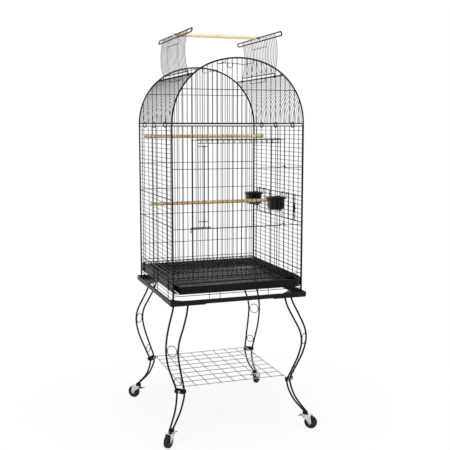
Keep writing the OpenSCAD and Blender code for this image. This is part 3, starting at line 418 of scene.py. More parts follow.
tyre_side = [(16.4, -3), (17.0, -6.2), (18.2, -7.7), (20.5, -8.3), (22.8, -7.7), (24.3, -6.0)]
tyre = turned(mirrored([*tyre_side, (tyre_r - 0.05, -3.2)], [(tyre_r, 0)]), 56)
disc = turned(mirrored([
    (2.7, -8.9), (6.2, -8.9), (7.2, -8.2), (7.6, -6.0), (9.2, -5.0), (13.2, -4.6), (15.6, -5.6),
    (16.9, -5.9), (17.1, -5.0),
]), 40)
arm = prism([
    (-8, plate_z + 0.5), (-8, 44), (-6.5, 42), (-3, 40.6), (1, 39.6), (8, 34), (13, 28.6),
    *ring(6.5, 12, 190, 16, trail, tyre_r), (27.9, 33), (26.3, 42), (25.4, plate_z + 0.5),
], arm_t, 0.4)
back_x, fore_x = pivot_x - 5, trail + 3.4
plate = prism([(back_x, -yoke_hw), (fore_x, -yoke_hw), (fore_x, yoke_hw), (back_x, yoke_hw)], 2.0, 0.5)
swivel = turned(raised(plate_z, [
    (0, 0.2), (8.0, 0.2), (10.2, 0.5), (11.0, 1.2), (10.6, 1.9), (9.4, 2.2), (9.8, 2.6), (9.2, plate_t),
    (4.0, plate_t), (4.0, stem_top - plate_z), (0, stem_top - plate_z),
]), 36)
rivet = raised(-yoke_hw, [(0, -2.1), (2.6, -1.9), (3.7, -1.2), (4.0, -0.35), (2.5, -0.3)])
rivet = turned(mirrored(rivet), 24)
tabs = prism(mirrored([
    (-2.4, -3.4), (-11.5, -4.4), (-16.5, -6.4), (-25.4, -11.2), (-27.4, -9.6), (-27.2, -7.0), (-20.6, -3.4),
    (-16.6, -1.3),
], [(-15.6, 0)]), 2.0, 0.6)
shoe = prism([
    (-5.0, 36.2), (-2.4, 36.0), (-2.0, 44.6), (-0.4, 46.0), (-2.2, 49.0), (-5.4, 48.6), (-6.6, 46.2),
], wheel_w - 6, 0.5)
pin = turned(mirrored([(0, -yoke_hw), (1.4, -yoke_hw)]), 16)
yoke = [moved(arm, shift(0, s * (arm_y + arm_t / 2), 0) @ spin(90, "X")) for s in (-1, 1)]
yoke += [moved(plate, shift(0, 0, plate_z + 1.1)), swivel]
rocker = [moved(tabs, shift(0, 0, pivot_z + 0.1)), moved(shoe, spin(90, "X"))]
rocker.append(moved(pin, shift(pivot_x, 0, pivot_z) @ spin(90, "X")))
for name, sx, sy in CORNERS:
    stand = corner_place(sx, sy, foot_out)
    wheel, fork, lever = "caster_wheel_" + name, "caster_fork_" + name, "brake_lever_" + name
    piece("tyre_" + name, wheel, rubber, [moved(tyre, stand @ on_axle)], (wheel,))
    piece("wheel_disc_" + name, wheel, black_nylon, [moved(disc, stand @ on_axle)])
    piece("yoke_" + name, fork, chrome, [moved(part, stand) for part in yoke], (fork,))
    axle = [moved(rivet, stand @ on_axle)]
    piece("axle_rivet_" + name, fork, zinc, axle, ("caster_axle_" + name,))
    parts = [moved(part, stand) for part in rocker]
    piece("brake_rocker_" + name, lever, black_nylon, parts, (lever,))

# ---------- foot sockets ----------
# A cast black cap on each caster's stem; the two rods of a leg are welded into
# its top.
socket_profile = raised(socket_top, [(0, -1.6), (4.1, -1.6)])
socket_profile += raised(socket_z, [(4.1, 0.1), (9.6, 0), (10.8, 0.5), (11.0, 1.6)])
socket_profile += raised(socket_top, [(10.9, -3.4), (10.4, -1.7), (9.3, -0.5), (7.8, -0.05), (0, 0)])
cap = turned(socket_profile, 36)
caps = [moved(cap, corner_place(sx, sy, foot_out)) for _, sx, sy in CORNERS]
piece("stem_caps", "cage", cast_black, caps, ("foot_sockets",))

# ---------- legs ----------
# Each leg is a pair of 7 mm round rods bent to one flowing line, powder coated
# black, welded to the gusset above and to the cap below.
LEG_LINE = (  # share of the height, outside the frame's corner, half the space between the rods
    (0.00, 2, 5.5), (0.10, -29, 10.5), (0.20, -45, 14.5), (0.27, -46.5, 17), (0.38, -31, 21),
    (0.50, -14, 24.5), (0.62, -5, 25), (0.72, -10, 26.5), (0.82, -27, 30), (0.92, -45, 30), (1.00, -54, 29),
)
leg_spans = len(LEG_LINE) - 1
leg_steps = 64
leg_d = 7.0
leg_foot = socket_top
leg_top = edge("stand_gussets", "z", 0)
leg_h = leg_top - leg_foot


def spline(a, b, c, d, t):
    """A smooth value between b and c."""
    return 0.5 * (2 * b + (c - a) * t + (2 * a - 5 * b + 4 * c - d) * t**2 + (3 * b - a - 3 * c + d) * t**3)


def leg_at(s, side):
    """A rod's middle line in its corner's own frame, X outwards on the diagonal."""
    i = min(leg_spans - 1, int(s))
    rows = [LEG_LINE[max(0, min(leg_spans, i + k))] for k in (-1, 0, 1, 2)]
    share, out, spread = (spline(*column, s - i) for column in zip(*rows))
    return Vector((out * sqrt(2), side * spread, leg_foot + share * leg_h))


def leg_share(share):
    """The rod's middle where the leg reaches a share of its height."""
    s = 0.0
    while leg_at(s, 1).z < leg_foot + share * leg_h:
        s += 0.02
    return leg_at(s, 1)


def wire_tree():
    """Round wires along the edges of a mesh, as thick as each point's own
    'half' says, and a bead of coating at every loose point marked 'bead'."""
    made = bpy.data.node_groups.new("welded_round_wire", "GeometryNodeTree")
    sockets = {"Sides": "Int", "Bead detail": "Int", "Coating": "Material"}
    for label, kind in {"Geometry": "Geometry", **sockets}.items():
        made.interface.new_socket(label, in_out="INPUT", socket_type="NodeSocket" + kind)
    made.interface.new_socket("Geometry", in_out="OUTPUT", socket_type="NodeSocketGeometry")

    def node(kind, inputs=None, **settings):
        return put(made, "GeometryNode" + kind, inputs, **settings).outputs

    given = put(made, "NodeGroupInput").outputs
    half = node("InputNamedAttribute", {"Name": "half"}, data_type="FLOAT")["Attribute"]
    bead = node("InputNamedAttribute", {"Name": "bead"}, data_type="BOOLEAN")["Attribute"]
    split = node("SeparateGeometry", {"Geometry": given["Geometry"], "Selection": bead}, domain="POINT")
    line = node("MeshToCurve", {"Mesh": split["Inverted"]})[0]
    section = node("CurvePrimitiveCircle", {"Resolution": given["Sides"], "Radius": 1.0})[0]
    swept = {"Curve": line, "Profile Curve": section, "Scale": half, "Fill Caps": True}
    tube = node("CurveToMesh", swept)[0]
    drop = node("MeshIcoSphere", {"Radius": 1.0, "Subdivisions": given["Bead detail"]})["Mesh"]
    spread = {"Min": (0.88, 0.88, 0.88), "Max": (1.1, 1.1, 1.1), "Seed": 7}
    size = put(made, "FunctionNodeRandomValue", spread, data_type="FLOAT_VECTOR").outputs["Value"]
    size = put(made, "ShaderNodeVectorMath", {0: size, "Scale": half}, operation="SCALE").outputs[0]
    drops = node("InstanceOnPoints", {"Points": split["Selection"], "Instance": drop, "Scale": size})[0]
    both = put(made, "GeometryNodeJoinGeometry")
    for part in (node("RealizeInstances", {"Geometry": drops})[0], tube):
        made.links.new(part, both.inputs[0])
    smooth = node("SetShadeSmooth", {"Geometry": both.outputs[0]})[0]
    dressed = node("SetMaterial", {"Geometry": smooth, "Material": given["Coating"]})[0]
    put(made, "NodeGroupOutput", {"Geometry": dressed})
    return made


WIRE = wire_tree()


def plain_mesh(made):
    """The object's mesh with its modifiers worked in."""
    bpy.context.view_layer.update()
    mesh = bpy.data.meshes.new_from_object(made.evaluated_get(bpy.context.evaluated_depsgraph_get()))
    made.modifiers.clear()
    made.data = mesh
    return mesh


def worn_ends(path, half):
    """Points and half-thicknesses of an open wire whose cut ends are rounded."""
    path = [Vector(p) for p in path]
    head, tail = (path[1] - path[0]).normalized(), (path[-2] - path[-1]).normalized()
    steps = ((0.0, 0.55), (0.12, 0.86), (0.42, 1.0))
    rows = [(path[0] + head * half * a, half * b) for a, b in steps]
    rows += [(p, half) for p in path[1:-1]]
    return rows + [(path[-1] + tail * half * a, half * b) for a, b in reversed(steps)]


def wires(name, body, slot, coating, runs, beads, stands_for, sides=10, bead_detail=2):
    """One piece made of round wires. A run is (points, thickness) or, where it
    closes on itself, (points, thickness, True). A bead is (point, half size)."""
    verts, joins, half = [], [], []
    for path, thick, *closed in runs:
        rows = [(Vector(p), thick / 2) for p in path] if closed else worn_ends(path, thick / 2)
        start, end = len(verts), len(verts) + len(rows) - 1
        verts += [p * MM for p, _ in rows]
        half += [h * MM for _, h in rows]
        joins += [(i, i + 1) for i in range(start, end)] + ([(end, start)] if closed else [])
    is_bead = [False] * len(verts) + [True] * len(beads)
    verts += [Vector(p) * MM for p, _ in beads]
    half += [h * MM for _, h in beads]
    lines = bpy.data.meshes.new(name + "_lines")
    lines.from_pydata(verts, joins, [])
    lines.attributes.new("half", "FLOAT", "POINT").data.foreach_set("value", half)
    lines.attributes.new("bead", "BOOLEAN", "POINT").data.foreach_set("value", is_bead)
    made = add(name, lines)
    maker = made.modifiers.new("wire", "NODES")
    maker.node_group = WIRE
    wanted = {"Sides": sides, "Bead detail": bead_detail, "Coating": coating}
    for socket in WIRE.interface.items_tree:
        if socket.in_out == "INPUT" and socket.name in wanted:
            maker[socket.identifier] = wanted[socket.name]
    plain_mesh(made).name = name
    bpy.data.meshes.remove(lines)
    return join_frame(made, body, stands_for)


def coated(name, body, runs, beads, stands_for, **detail):
    """A piece of the cage's own black coated wire."""
    return wires(name, body, "black_coated_wire", coat_black, runs, beads, stands_for, **detail)


for name, sx, sy in CORNERS:
    stand = corner_place(sx, sy)
    runs, beads = [], []
    for side in (-1, 1):
        line = [leg_at(k * leg_spans / leg_steps, side) for k in range(leg_steps + 1)]
        line[0].z += 0.2
        line[-1].z -= 0.2
        runs.append(([stand @ p for p in line], leg_d))
        beads += [(stand @ (line[-1] + Vector((x, 0, -1.6))), 2.6) for x in (-2.6, 2.6)]
        beads += [(stand @ (line[0] + Vector((x, 0, 0.9))), 2.4) for x in (-2.2, 2.2)]
    node = "leg_" + name
    wires("leg_rods_" + name, "cage", "black_painted_steel", coat_black, runs, beads, (node,), sides=20)

# ---------- leg rings ----------
# Two plain wire rings stand between the rods of each leg, held by a dark bead
# of weld on each side.
ring_wire = 3.0
RING_SHARES = (0.636, 0.355)
rings, welds = [], []
STANDS = [corner_place(sx, sy) for _, sx, sy in CORNERS]
for stand in STANDS:
    for mid in map(leg_share, RING_SHARES):
        r = mid.y - leg_d / 2 - GAP - ring_wire / 2
        rings.append(([stand @ Vector((mid.x, y, z)) for y, z in ring(r, 40, y=mid.z)], ring_wire, True))
        welds += [(stand @ Vector((mid.x, s * (r + ring_wire / 2 + 0.1), mid.z)), 3.0) for s in (-1, 1)]
wires("leg_rings_wire", "cage", "grey_wire", ring_grey, rings, (), ("leg_rings",), sides=12)
wires("leg_ring_welds", "cage", "black_painted_steel", cast_black, [], welds, (), bead_detail=3)

# ---------- knee clamps ----------
# Two formed steel plates pinch the rods together at the knee, drawn up by one
# long pan-head screw and a hexagon nut, which also hold the shelf's eye.
knee_share = 0.265
knee = leg_share(knee_share)
clamp_w, clamp_h, clamp_t = 2 * knee.y + leg_d + 0.8, 14.0, 2.5
bow = [leg_share(knee_share + k * clamp_h / 4 / leg_h).x for k in range(-2, 3)]
rod_r = leg_d / 2 / cos(pi / 8) + 0.6
shelf_wire = 3.0
outer_face = max(bow) + rod_r + clamp_t
inner_face = min(bow) - rod_r - clamp_t
nut_face = inner_face - shelf_wire - 2 * GAP
plate = prism(rounded(clamp_w, clamp_h, 2.5), clamp_t, 0.5)
nut = prism(ring(4.5, 6), 4.0, 0.4)
screw = raised(outer_face, [(0, 3.5), (2.6, 3.4), (4.2, 2.6), (5.0, 1.2), (5.0, 0.35), (2.5, 0.3)])
screw = turned(screw + raised(nut_face, [(2.5, -4.6), (2.1, -5), (0, -5)]), 24)
plates, bolts = [], []
for stand in STANDS:
    at_knee = stand @ shift(0, 0, knee.z)
    for x in (inner_face + clamp_t / 2, outer_face - clamp_t / 2):
        plates.append(moved(plate, at_knee @ shift(x, 0, 0) @ spin(90, "Z") @ spin(90, "X")))
    along = at_knee @ spin(90, "Y")
    bolts += [moved(screw, along), moved(nut, along @ shift(0, 0, nut_face - 2))]
piece("knee_clamp_plates", "cage", cast_black, plates, ("knee_clamps",))
piece("knee_clamp_screws", "cage", zinc, bolts, ("clamp_screws",))

# ---------- shelf ----------
# A spot-welded grid of 3 mm wire with 2 in cells, plated light grey. A wire at
# each corner reaches out to an eye on the clamp's screw.
cell, cells = 50.8, 8
shelf_z = 195.0
shelf_hw = cells * cell / 2
under_z = shelf_z - shelf_wire + SINK
reach_z = shelf_z - shelf_wire
eye_x = inner_face - GAP - shelf_wire / 2
corner = (shelf_hw - corner_at) * sqrt(2)
tip = shelf_hw + STUB
runs, beads = [], []
for i in range(cells + 1):
    at = -shelf_hw + i * cell
    runs.append((((-tip, at, shelf_z), (tip, at, shelf_z)), shelf_wire))
    runs.append((((at, -tip, under_z), (at, tip, under_z)), shelf_wire))
    beads += [((at, -shelf_hw + k * cell, shelf_z - shelf_wire / 2), 1.575) for k in range(cells + 1)]
for stand in STANDS:
    loop = [stand @ Vector((eye_x, y, z)) for y, z in ring(4.1, 24, -90, y=knee.z)]
    arm = [stand @ Vector((x, 0, reach_z)) for x in (corner - 8, eye_x - 2.5)]
    runs += [(loop, shelf_wire, True), (arm, shelf_wire)]
wires("shelf_grid", "cage", "grey_wire", shelf_grey, runs, beads, ("shelf",))

# ---------- stand frame ----------
# A square of angle iron, mitred and welded at its corners, open edge up, which
# the cage's foot drops into; a flat gusset is welded under each corner.
frame_foot, frame_top = (corner.z for corner in box("stand_frame"))
lip_h = frame_top - frame_foot
ledge = 24.0
angle_t = 2.0
angle_profile = [
    (0, 1.2), (0.35, 0.35), (1.2, 0), (ledge - 0.7, 0), (ledge - 0.2, 0.3), (ledge, 1.0), (ledge - 0.2, 1.7),
    (ledge - 0.7, angle_t), (3.2, angle_t), (2.35, 2.35), (angle_t, 3.2), (angle_t, lip_h - 0.8),
    (1.7, lip_h - 0.2), (1, lip_h), (0.3, lip_h - 0.2), (0, lip_h - 0.8),
]
rows = [(corner_at - u, z) for u, z in raised(frame_foot, angle_profile)]
iron = skin([[(x * half, y * half, z) for x, y in SQUARE] for half, z in rows], True)
piece("angle_iron_frame", "cage", angle_black, [iron], ("stand_frame",), sharp=60)
gusset_w = 134.0
gusset_outline = [
    (0.6, 0.6), (gusset_w - 6, 0.6), (gusset_w - 1.5, 1.6), (gusset_w - 4, 5.5), (5.5, gusset_w - 4),
    (1.6, gusset_w - 1.5), (0.6, gusset_w - 6),
]
gussets = []
for _, sx, sy in CORNERS:
    plate = [(sx * (corner_at - 1 - x), sy * (corner_at - 1 - y)) for x, y in gusset_outline]
    gussets.append(moved(prism(plate, 2.98, 0.5), shift(0, 0, leg_top + 1.49)))
piece("corner_gussets", "cage", angle_black, gussets, ("stand_gussets",))

# ---------- front wall and skirt ----------
# Welded panels of upright wires with a few level wires behind them, between two
# thick corner posts. A gap between skirt and wall lets tray and grate slide out.
# The side walls, the roof sides and the flaps are closed with thinner wire.
wire_d, fine_d, post_d, rail_d, heavy_d, thin_d = 2.4, 2.2, 5.0, 4.0, 3.6, 1.8
cage_foot = edge("front_posts", "z", 0)
post_h = edge("front_posts", "z", 1) - cage_foot
post_x = edge("front_posts", "x", 1) - post_d / 2
post_y = -edge("front_posts", "y", 0) - post_d / 2
panel_h = 637.0
rail_levels = (rail_d / 2, panel_h)
spaces, jamb = 27, 4  # spaces between uprights, and the uprights that the door hangs between
step = 2 * post_x / spaces
behind = 2.0
jamb_x = post_x - jamb * step
sill_h, head_h, slot_top_h, skirt_h, mid_h = 271.0, 587.0, 86.0, 35.0, 485.0
into_post = post_x - 1.6
post_weld = post_x - 2.2
bead, rail_bead, post_bead = 1.25, 2.1, 1.9  # half the width of the coating at a weld
columns = [-post_x + i * step for i in range(spaces + 1)]


def front(x, h, y=0.0):
    """A point on the front wall: across, up from the cage's foot, inwards."""
    return Vector((x, y - post_y, cage_foot + h))


def rear(x, h, y=0.0):
    """The same on the back wall."""
    return Vector((x, post_y - y, cage_foot + h))


def side_wall(side):
    """The same on a side wall: side is -1 left or 1 right."""
    return lambda y, h, inwards=0.0: Vector((side * (post_x - inwards), y, cage_foot + h))


def level(wall, a, b, h, inwards=0.0, thick=wire_d):
    """A level wire of a wall."""
    return (wall(a, h, inwards), wall(b, h, inwards)), thick


def upright(wall, x, foot, top, inwards=0.0, thick=wire_d):
    """An upright wire of a wall."""
    return (wall(x, foot, inwards), wall(x, top, inwards)), thick


def posts_of(wall, x, top):
    """The two corner posts of a wall."""
    return [upright(wall, s * x, 0, top, 0, post_d) for s in (-1, 1)]


def bent(path, r, n=4):
    """The same path with its inner corners bent round."""
    path = [Vector(p) for p in path]
    out = [path[0]]
    for before, at, after in zip(path, path[1:], path[2:]):
        a, b = (before - at), (after - at)
        cut = min(r, a.length * 0.45, b.length * 0.45)
        start, end = at + a.normalized() * cut, at + b.normalized() * cut
        out += [(start.lerp(at, k / n)).lerp(at.lerp(end, k / n), k / n) for k in range(n + 1)]
    return out + [path[-1]]


def hoop(w, d, z):
    """A level rectangle of wire, from the middle of its right side round to it."""
    return [(w, 0, z), (w, d, z), (-w, d, z), (-w, -d, z), (w, -d, z), (w, -1, z)]


posts = posts_of(front, post_x, post_h)
coated("front_corner_posts", "cage", posts, (), ("front_posts",), sides=16)

runs, beads = [], []
for i in range(1, spaces):
    beside = i <= jamb or i >= spaces - jamb
    at_jamb = i in (jamb, spaces - jamb)
    top = panel_h if beside else sill_h + 1.4
    runs.append(upright(front, columns[i], slot_top_h - STUB, top, 0, heavy_d if at_jamb else wire_d))
    if not beside:
        runs.append(upright(front, columns[i], head_h - 1.4, panel_h))
    heights = [slot_top_h, sill_h, mid_h if beside else head_h, panel_h] + [head_h] * at_jamb
    beads += [(front(columns[i], h, h < panel_h), bead if h < panel_h else rail_bead) for h in heights]
runs += [level(front, -into_post, into_post, h, behind) for h in (slot_top_h, sill_h)]
runs.append(level(front, -jamb_x - STUB, jamb_x + STUB, head_h, behind))
runs += [level(front, s * into_post, s * (jamb_x - STUB), mid_h, behind) for s in (-1, 1)]
runs.append(level(front, -into_post, into_post, panel_h, 0, rail_d))
for s in (-1, 1):
    beads += [(front(s * post_weld, h, 1), post_bead) for h in (slot_top_h, sill_h, mid_h)]
    beads.append((front(s * post_weld, panel_h), post_bead))
coated("front_wall_wires", "cage", runs, beads, ("front_panel",))

skirt_levels = (skirt_h, skirt_h - 7)
struts = (-116.0, -74.0, 74.0, 116.0)
runs = [level(front, -into_post, into_post, rail_d / 2, 0, rail_d)]
runs += [level(front, -into_post, into_post, h, behind) for h in skirt_levels]
runs += [upright(front, x, rail_d / 2, skirt_h + 1.2) for x in struts]
beads = [(front(x, h, 1.0), bead) for x in struts for h in skirt_levels]
for s in (-1, 1):
    beads += [(front(s * post_weld, h, y), post_bead) for h, y in ((skirt_h, 1), (rail_d / 2, 0))]
coated("front_skirt_wires", "cage", runs, beads, ("front_skirt",))

# ---------- back wall ----------
# The same upright wires over its whole height, with six level wires.
back_levels = (skirt_h, 84.0, 151.0, 273.0, 379.0, 486.0)
runs = posts_of(rear, post_x, post_h) + [level(rear, -post_x, post_x, h, 0, rail_d) for h in rail_levels]
runs += [level(rear, -into_post, into_post, h, behind) for h in back_levels]
beads = []
for x in columns[1:-1]:
    runs.append(upright(rear, x, rail_d / 2, panel_h))
    beads += [(rear(x, h, 1.0), bead) for h in back_levels]
    beads += [(rear(x, h), rail_bead) for h in rail_levels]
coated("back_wall_wires", "cage", runs, beads, ("back_panel",), bead_detail=1)

# ---------- side walls ----------
# Closely spaced level wires welded to a few uprights inside, with three
# heavier levels. The right wall has two framed openings for the feeders.
side_post_y = edge("left_panel", "y", 1) - post_d / 2
side_post_h = edge("left_panel", "z", 1) - cage_foot
levels = 39
level_step = panel_h / levels
SILL, HEAD = 17, 23
HEAVY = (6, SILL, HEAD)
side_uprights = (-172.0, -16.0, 46.0, 210.0)
side_upright_d = 3.0
feeder_w = 130.0
SPANS = ((-172.0, -172.0 + feeder_w), (202.0 - feeder_w, 202.0))
inward = fine_d / 2 + wire_d / 2 - SINK
for side, node in ((-1, "left_panel"), (1, "right_panel")):
    wall = side_wall(side)
    runs = posts_of(wall, side_post_y, side_post_h)
    runs += [level(wall, -side_post_y, side_post_y, h, 0, rail_d) for h in rail_levels]
    beads = []
    for k in range(1, levels):
        h = k * level_step
        cuts = [-side_post_y, side_post_y]
        if side == 1 and SILL < k < HEAD:
            cuts[1:1] = [y for span in SPANS for y in span]
        for a, b in zip(cuts[::2], cuts[1::2]):
            runs.append(level(wall, a, b, h, 0, heavy_d if k in HEAVY else thin_d))
            beads += [(wall(y, h, 0.9), bead) for y in side_uprights if a <= y <= b]
    runs += [upright(wall, y, rail_d / 2, panel_h, inward, side_upright_d) for y in side_uprights]
    if side == 1:
        for y in (y for span in SPANS for y in span):
            runs.append(upright(wall, y, SILL * level_step, HEAD * level_step, 0, heavy_d))
            beads += [(wall(y, k * level_step), rail_bead) for k in range(SILL, HEAD + 1)]
    coated(node.replace("_panel", "_wall_wires"), "cage", runs, beads, (node,), bead_detail=1)

# ---------- tray runners ----------
# Bent steel strips between front and back: the tray slides inside their C and
# the grate lies on their top. Their CAD shape is right; they get the coat.
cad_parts["tray_runners"].data.materials.clear()
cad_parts["tray_runners"].data.materials.append(angle_black)

# ---------- tray ----------
# A deep drawn pan of glossy black polystyrene, with round corners, a rolled rim
# and shallow stiffening ribs across its floor.
tray_lo, tray_hi = box("tray")
tray_mid = (tray_lo + tray_hi) / 2
tray_w, tray_l, _ = tray_hi - tray_lo
tray_z = tray_lo.z


def pan(w, l, r, rows, centre):
    """A shell of round-cornered rings: each row is (inset, height)."""
    outlines = ((rounded(w - 2 * u, l - 2 * u, max(r - u, 0.8), 8), z) for u, z in rows)
    return loft([[(x + centre.x, y + centre.y, z) for x, y in outline] for outline, z in outlines])


tray_rows = raised(tray_z, [(5.0, 0), (3.4, 0.5), (2.6, 1.8)])
tray_rows += raised(tray_hi.z, [
    (1.9, -7), (0.7, -6), (0.1, -5), (0, -1.2), (0.4, -0.3), (1.2, 0), (4.6, 0), (5.4, -0.4), (5.8, -1.4),
])
tray_rows += raised(tray_z, [(6.2, 4.2), (6.9, 2.7), (8.4, 2.2)])
tray_shapes = [pan(tray_w, tray_l, 12.0, tray_rows, tray_mid)]
rib_n = 7
rib_hw, rib_z = tray_w / 2 - 22, tray_z + 1.6
RIB = ((-6, 0), (-4, 1.2), (0, 1.6), (4, 1.2), (6, 0))
# place along the rib, and its share of the width and the height there
RIB_ENDS = ((-1, 0.6, 0.2), (-0.985, 1, 1), (0.985, 1, 1), (1, 0.6, 0.2))
for k in range(rib_n):
    y = tray_lo.y + tray_l * (k + 1) / (rib_n + 1)
    tray_shapes.append(loft([
        [(tray_mid.x + s * rib_hw, y + v * wide, rib_z + z * high) for v, z in RIB]
        for s, wide, high in RIB_ENDS
    ]))
piece("drawn_tray", "tray", gloss_tray, tray_shapes, ("tray",), sharp=50)

# ---------- grate ----------
# A welded floor grate that slides over the tray: a frame of thick wire with
# four cross bars, and thin wires close together on top, front to back.
grate_lo, grate_hi = box("grate")
grate_d = 4.0
grate_z = grate_lo.z + grate_d / 2
grate_top = grate_z + grate_d / 2 + wire_d / 2 - SINK
grate_n = 33
in_w, in_d = grate_hi.x - grate_d / 2, grate_hi.y - grate_d / 2
bars = [-grate_hi.y + i * 2 * grate_hi.y / 5 for i in range(1, 5)]
runs = [(bent(hoop(in_w, in_d, grate_z), 9)[:-1], grate_d, True)]
runs += [(((-in_w, y, grate_z), (in_w, y, grate_z)), grate_d) for y in bars]
beads = []
for i in range(1, grate_n):
    x = -grate_hi.x + i * 2 * grate_hi.x / grate_n
    runs.append((((x, -in_d - 1, grate_top), (x, in_d + 1, grate_top)), wire_d))
    beads += [((x, y, grate_z + grate_d / 2), bead) for y in bars + [-in_d, in_d]]
coated("floor_grate_wires", "grate", runs, beads, ("grate",), bead_detail=1)

# ---------- front door ----------
# An overlapping door of upright wires in front of the opening, stiffened by two
# level wires and topped by a band of small wire scrolls between two wires. It
# turns on the right jamb, which its two coiled knuckles are wrapped around.
door_hw = jamb_x - step
door_gap = 0.4  # air between the wall, the door and its latch
door_y = -(heavy_d / 2 + door_gap + wire_d / 2)
bar_y = door_y - wire_d + SINK
weld_y = (door_y + bar_y) / 2
door_foot_h, door_top_h = sill_h - 3, head_h + 4
band_h = 15.0
door_levels = (sill_h, mid_h, door_top_h - band_h, door_top_h - wire_d / 2)
latch_d = 4.0
latch_x = -door_hw + 22
latch_y = bar_y - wire_d / 2 - door_gap - latch_d / 2


def coil(wall, x, y, r, n, start, turn, foot, rise):
    """A wire wound up round an upright axis at (x, y) of a wall."""
    return [wall(u, foot + rise * k / (n - 1), v) for k, (u, v) in enumerate(ring(r, n, start, turn, x, y))]


runs, beads = [], []
for i in range(jamb + 1, spaces - jamb):
    thick = heavy_d - 0.4 if i in (jamb + 1, spaces - jamb - 1) else wire_d
    runs.append(upright(front, columns[i], door_foot_h, door_top_h, door_y, thick))
    beads += [(front(columns[i], h, weld_y), bead) for h in door_levels]
runs += [level(front, -jamb_x - 6, door_hw + STUB, h, bar_y) for h in door_levels[:2]]
runs += [level(front, -door_hw - STUB, door_hw + STUB, h, bar_y) for h in door_levels[2:]]
for h in (sill_h + 24, door_top_h - band_h - 14):
    runs.append(level(front, -door_hw, latch_x + 16, h + 2.5, bar_y))
    runs.append((coil(front, latch_x, latch_y, 3.2, 40, 90, 18, h + 1.1, 2.8), 2.1))
    beads += [(front(x, h + 2.5, weld_y), bead) for x in columns[jamb + 1 : jamb + 3]]
coated("front_door_wires", "front_door", runs, beads, ("front_door",))

scroll_n = 15
scroll_wire = 1.8
scroll_r = (band_h - wire_d * 1.5 - 0.6 + scroll_wire) / 4 - scroll_wire / 2
scroll_h = door_top_h - band_h / 2 - wire_d / 4
runs = []
for i in range(scroll_n):
    x = -door_hw + (i + 0.5) * 2 * door_hw / scroll_n
    upper = ring(scroll_r, 15, 10, 18, x, scroll_h + scroll_r)
    lower = [(2 * x - u, 2 * scroll_h - v) for u, v in reversed(upper)]
    runs.append(([front(u, v, bar_y - 0.1) for u, v in upper + lower], scroll_wire))
coated("door_scroll_band", "front_door", runs, (), ("door_scrolls",), sides=8)

hinge_wire = 2.2
coil_r = heavy_d / 2 + 0.1 + hinge_wire / 2
runs = []
for h in (sill_h, mid_h):
    base = h + wire_d / 2 + GAP
    tail = [front(door_hw + 1.5, base + 3.5, door_y), front(jamb_x - 5, base + 3.5, door_y)]
    runs.append((coil(front, jamb_x, 0, coil_r, 55, -60, 20, base + 1.2, 4.6), hinge_wire))
    runs.append((tail + [front(jamb_x - 1.5, base + 3.4, -coil_r)], hinge_wire))
coated("door_hinge_coils", "front_door", runs, (), ("door_knuckles",), sides=10)

# ---------- door latch ----------
# A gravity latch bent from one 4 mm rod: it slides in two eyes on the door's
# stile, and its foot drops past the jamb. A short finger grip stands beside it.
foot_h = sill_h + 5
foot_x = -jamb_x - 10
latch = [(latch_x, door_top_h - band_h - 6), (latch_x, foot_h), (foot_x, foot_h), (foot_x, sill_h - 13)]
rod = (bent([front(x, h, latch_y) for x, h in latch], 5.0, 6), latch_d - 0.3)
grip = level(front, latch_x - 2, latch_x + 26, foot_h, latch_y, latch_d - 1)
weld = (front(latch_x + 0.8, foot_h, latch_y), post_bead)
coated("latch_rod", "door_latch", [rod, grip], [weld], ("door_latch",), sides=14)

# ---------- feeder doors ----------
# Two small wire doors outside the right wall's openings, hung on coiled
# knuckles at their rear edge, each with a bent finger hook at the front.
right = side_wall(1)
lo_h, hi_h = SILL * level_step, HEAD * level_step
grip_y = bar_y - wire_d / 2 - heavy_d / 2 + 1
for (y0, y1), name in zip(SPANS, ("front", "rear")):
    near, far = y0 - 5, y1 - 12
    stiles = (near, (y0 + far) / 2, far)
    runs = [upright(right, y, lo_h - 5, hi_h + 5, door_y, heavy_d - 0.8) for y in stiles]
    beads = []
    for k in range(SILL, HEAD + 1):
        h = k * level_step
        runs.append(level(right, near, far, h, bar_y))
        beads += [(right(y, h, weld_y), bead) for y in stiles]
    for k in (SILL + 1.5, HEAD - 1.5):
        h = k * level_step
        runs.append((coil(right, y1, 0, 3.0, 55, 120, -20, h - 2.3, 4.6), hinge_wire))
        tail = [right(far - 0.5, h, door_y), right(y1 - 4.5, h, door_y), right(y1 - 1, h, -3.0)]
        runs.append((tail, hinge_wire))
    runs.append(level(right, y0 - 9, y0 + 8, lo_h + 45, grip_y))
    runs.append(upright(right, y0 + 8, lo_h + 28, lo_h + 62, grip_y, heavy_d))
    coated("feeder_gate_" + name, "feeder_door_" + name, runs, beads, ("feeder_door_" + name,))

# ---------- feeding cups ----------
# Moulded cups of glossy black plastic with a rounded foot, drafted walls and a
# rim that stands out all round; each hangs by its rim in a wire frame.
cup_w, cup_l, cup_h = 66.0, 64.0, 50.0
cup_foot = [(15.5, 0.6), (15.0, 0), (11.5, 0.5), (8.5, 2.0), (6.2, 4.8), (4.9, 9.0), (4.1, 15.0)]
cup_rim = [
    (3.3, -5.0), (1.4, -4.9), (0.4, -4.4), (0, -3.2), (0.1, -1.2), (0.8, -0.2), (1.8, 0), (4.2, -0.1),
    (5.2, -0.8), (5.6, -2.4),
]
cup_inside = [(6.5, 15.0), (7.3, 9.8), (8.8, 6.2), (11.4, 3.6), (15.0, 2.4), (17.0, 2.4)]
for name in ("cup_front", "cup_rear"):
    lo, hi = box(name)
    rows = raised(lo.z, cup_foot) + raised(hi.z, cup_rim) + raised(lo.z, cup_inside)
    cup = pan(cup_w, cup_l, 18.0, rows, (lo + hi) / 2)
    piece("feeding_" + name, name, cup_gloss, [cup], (name,), sharp=70)

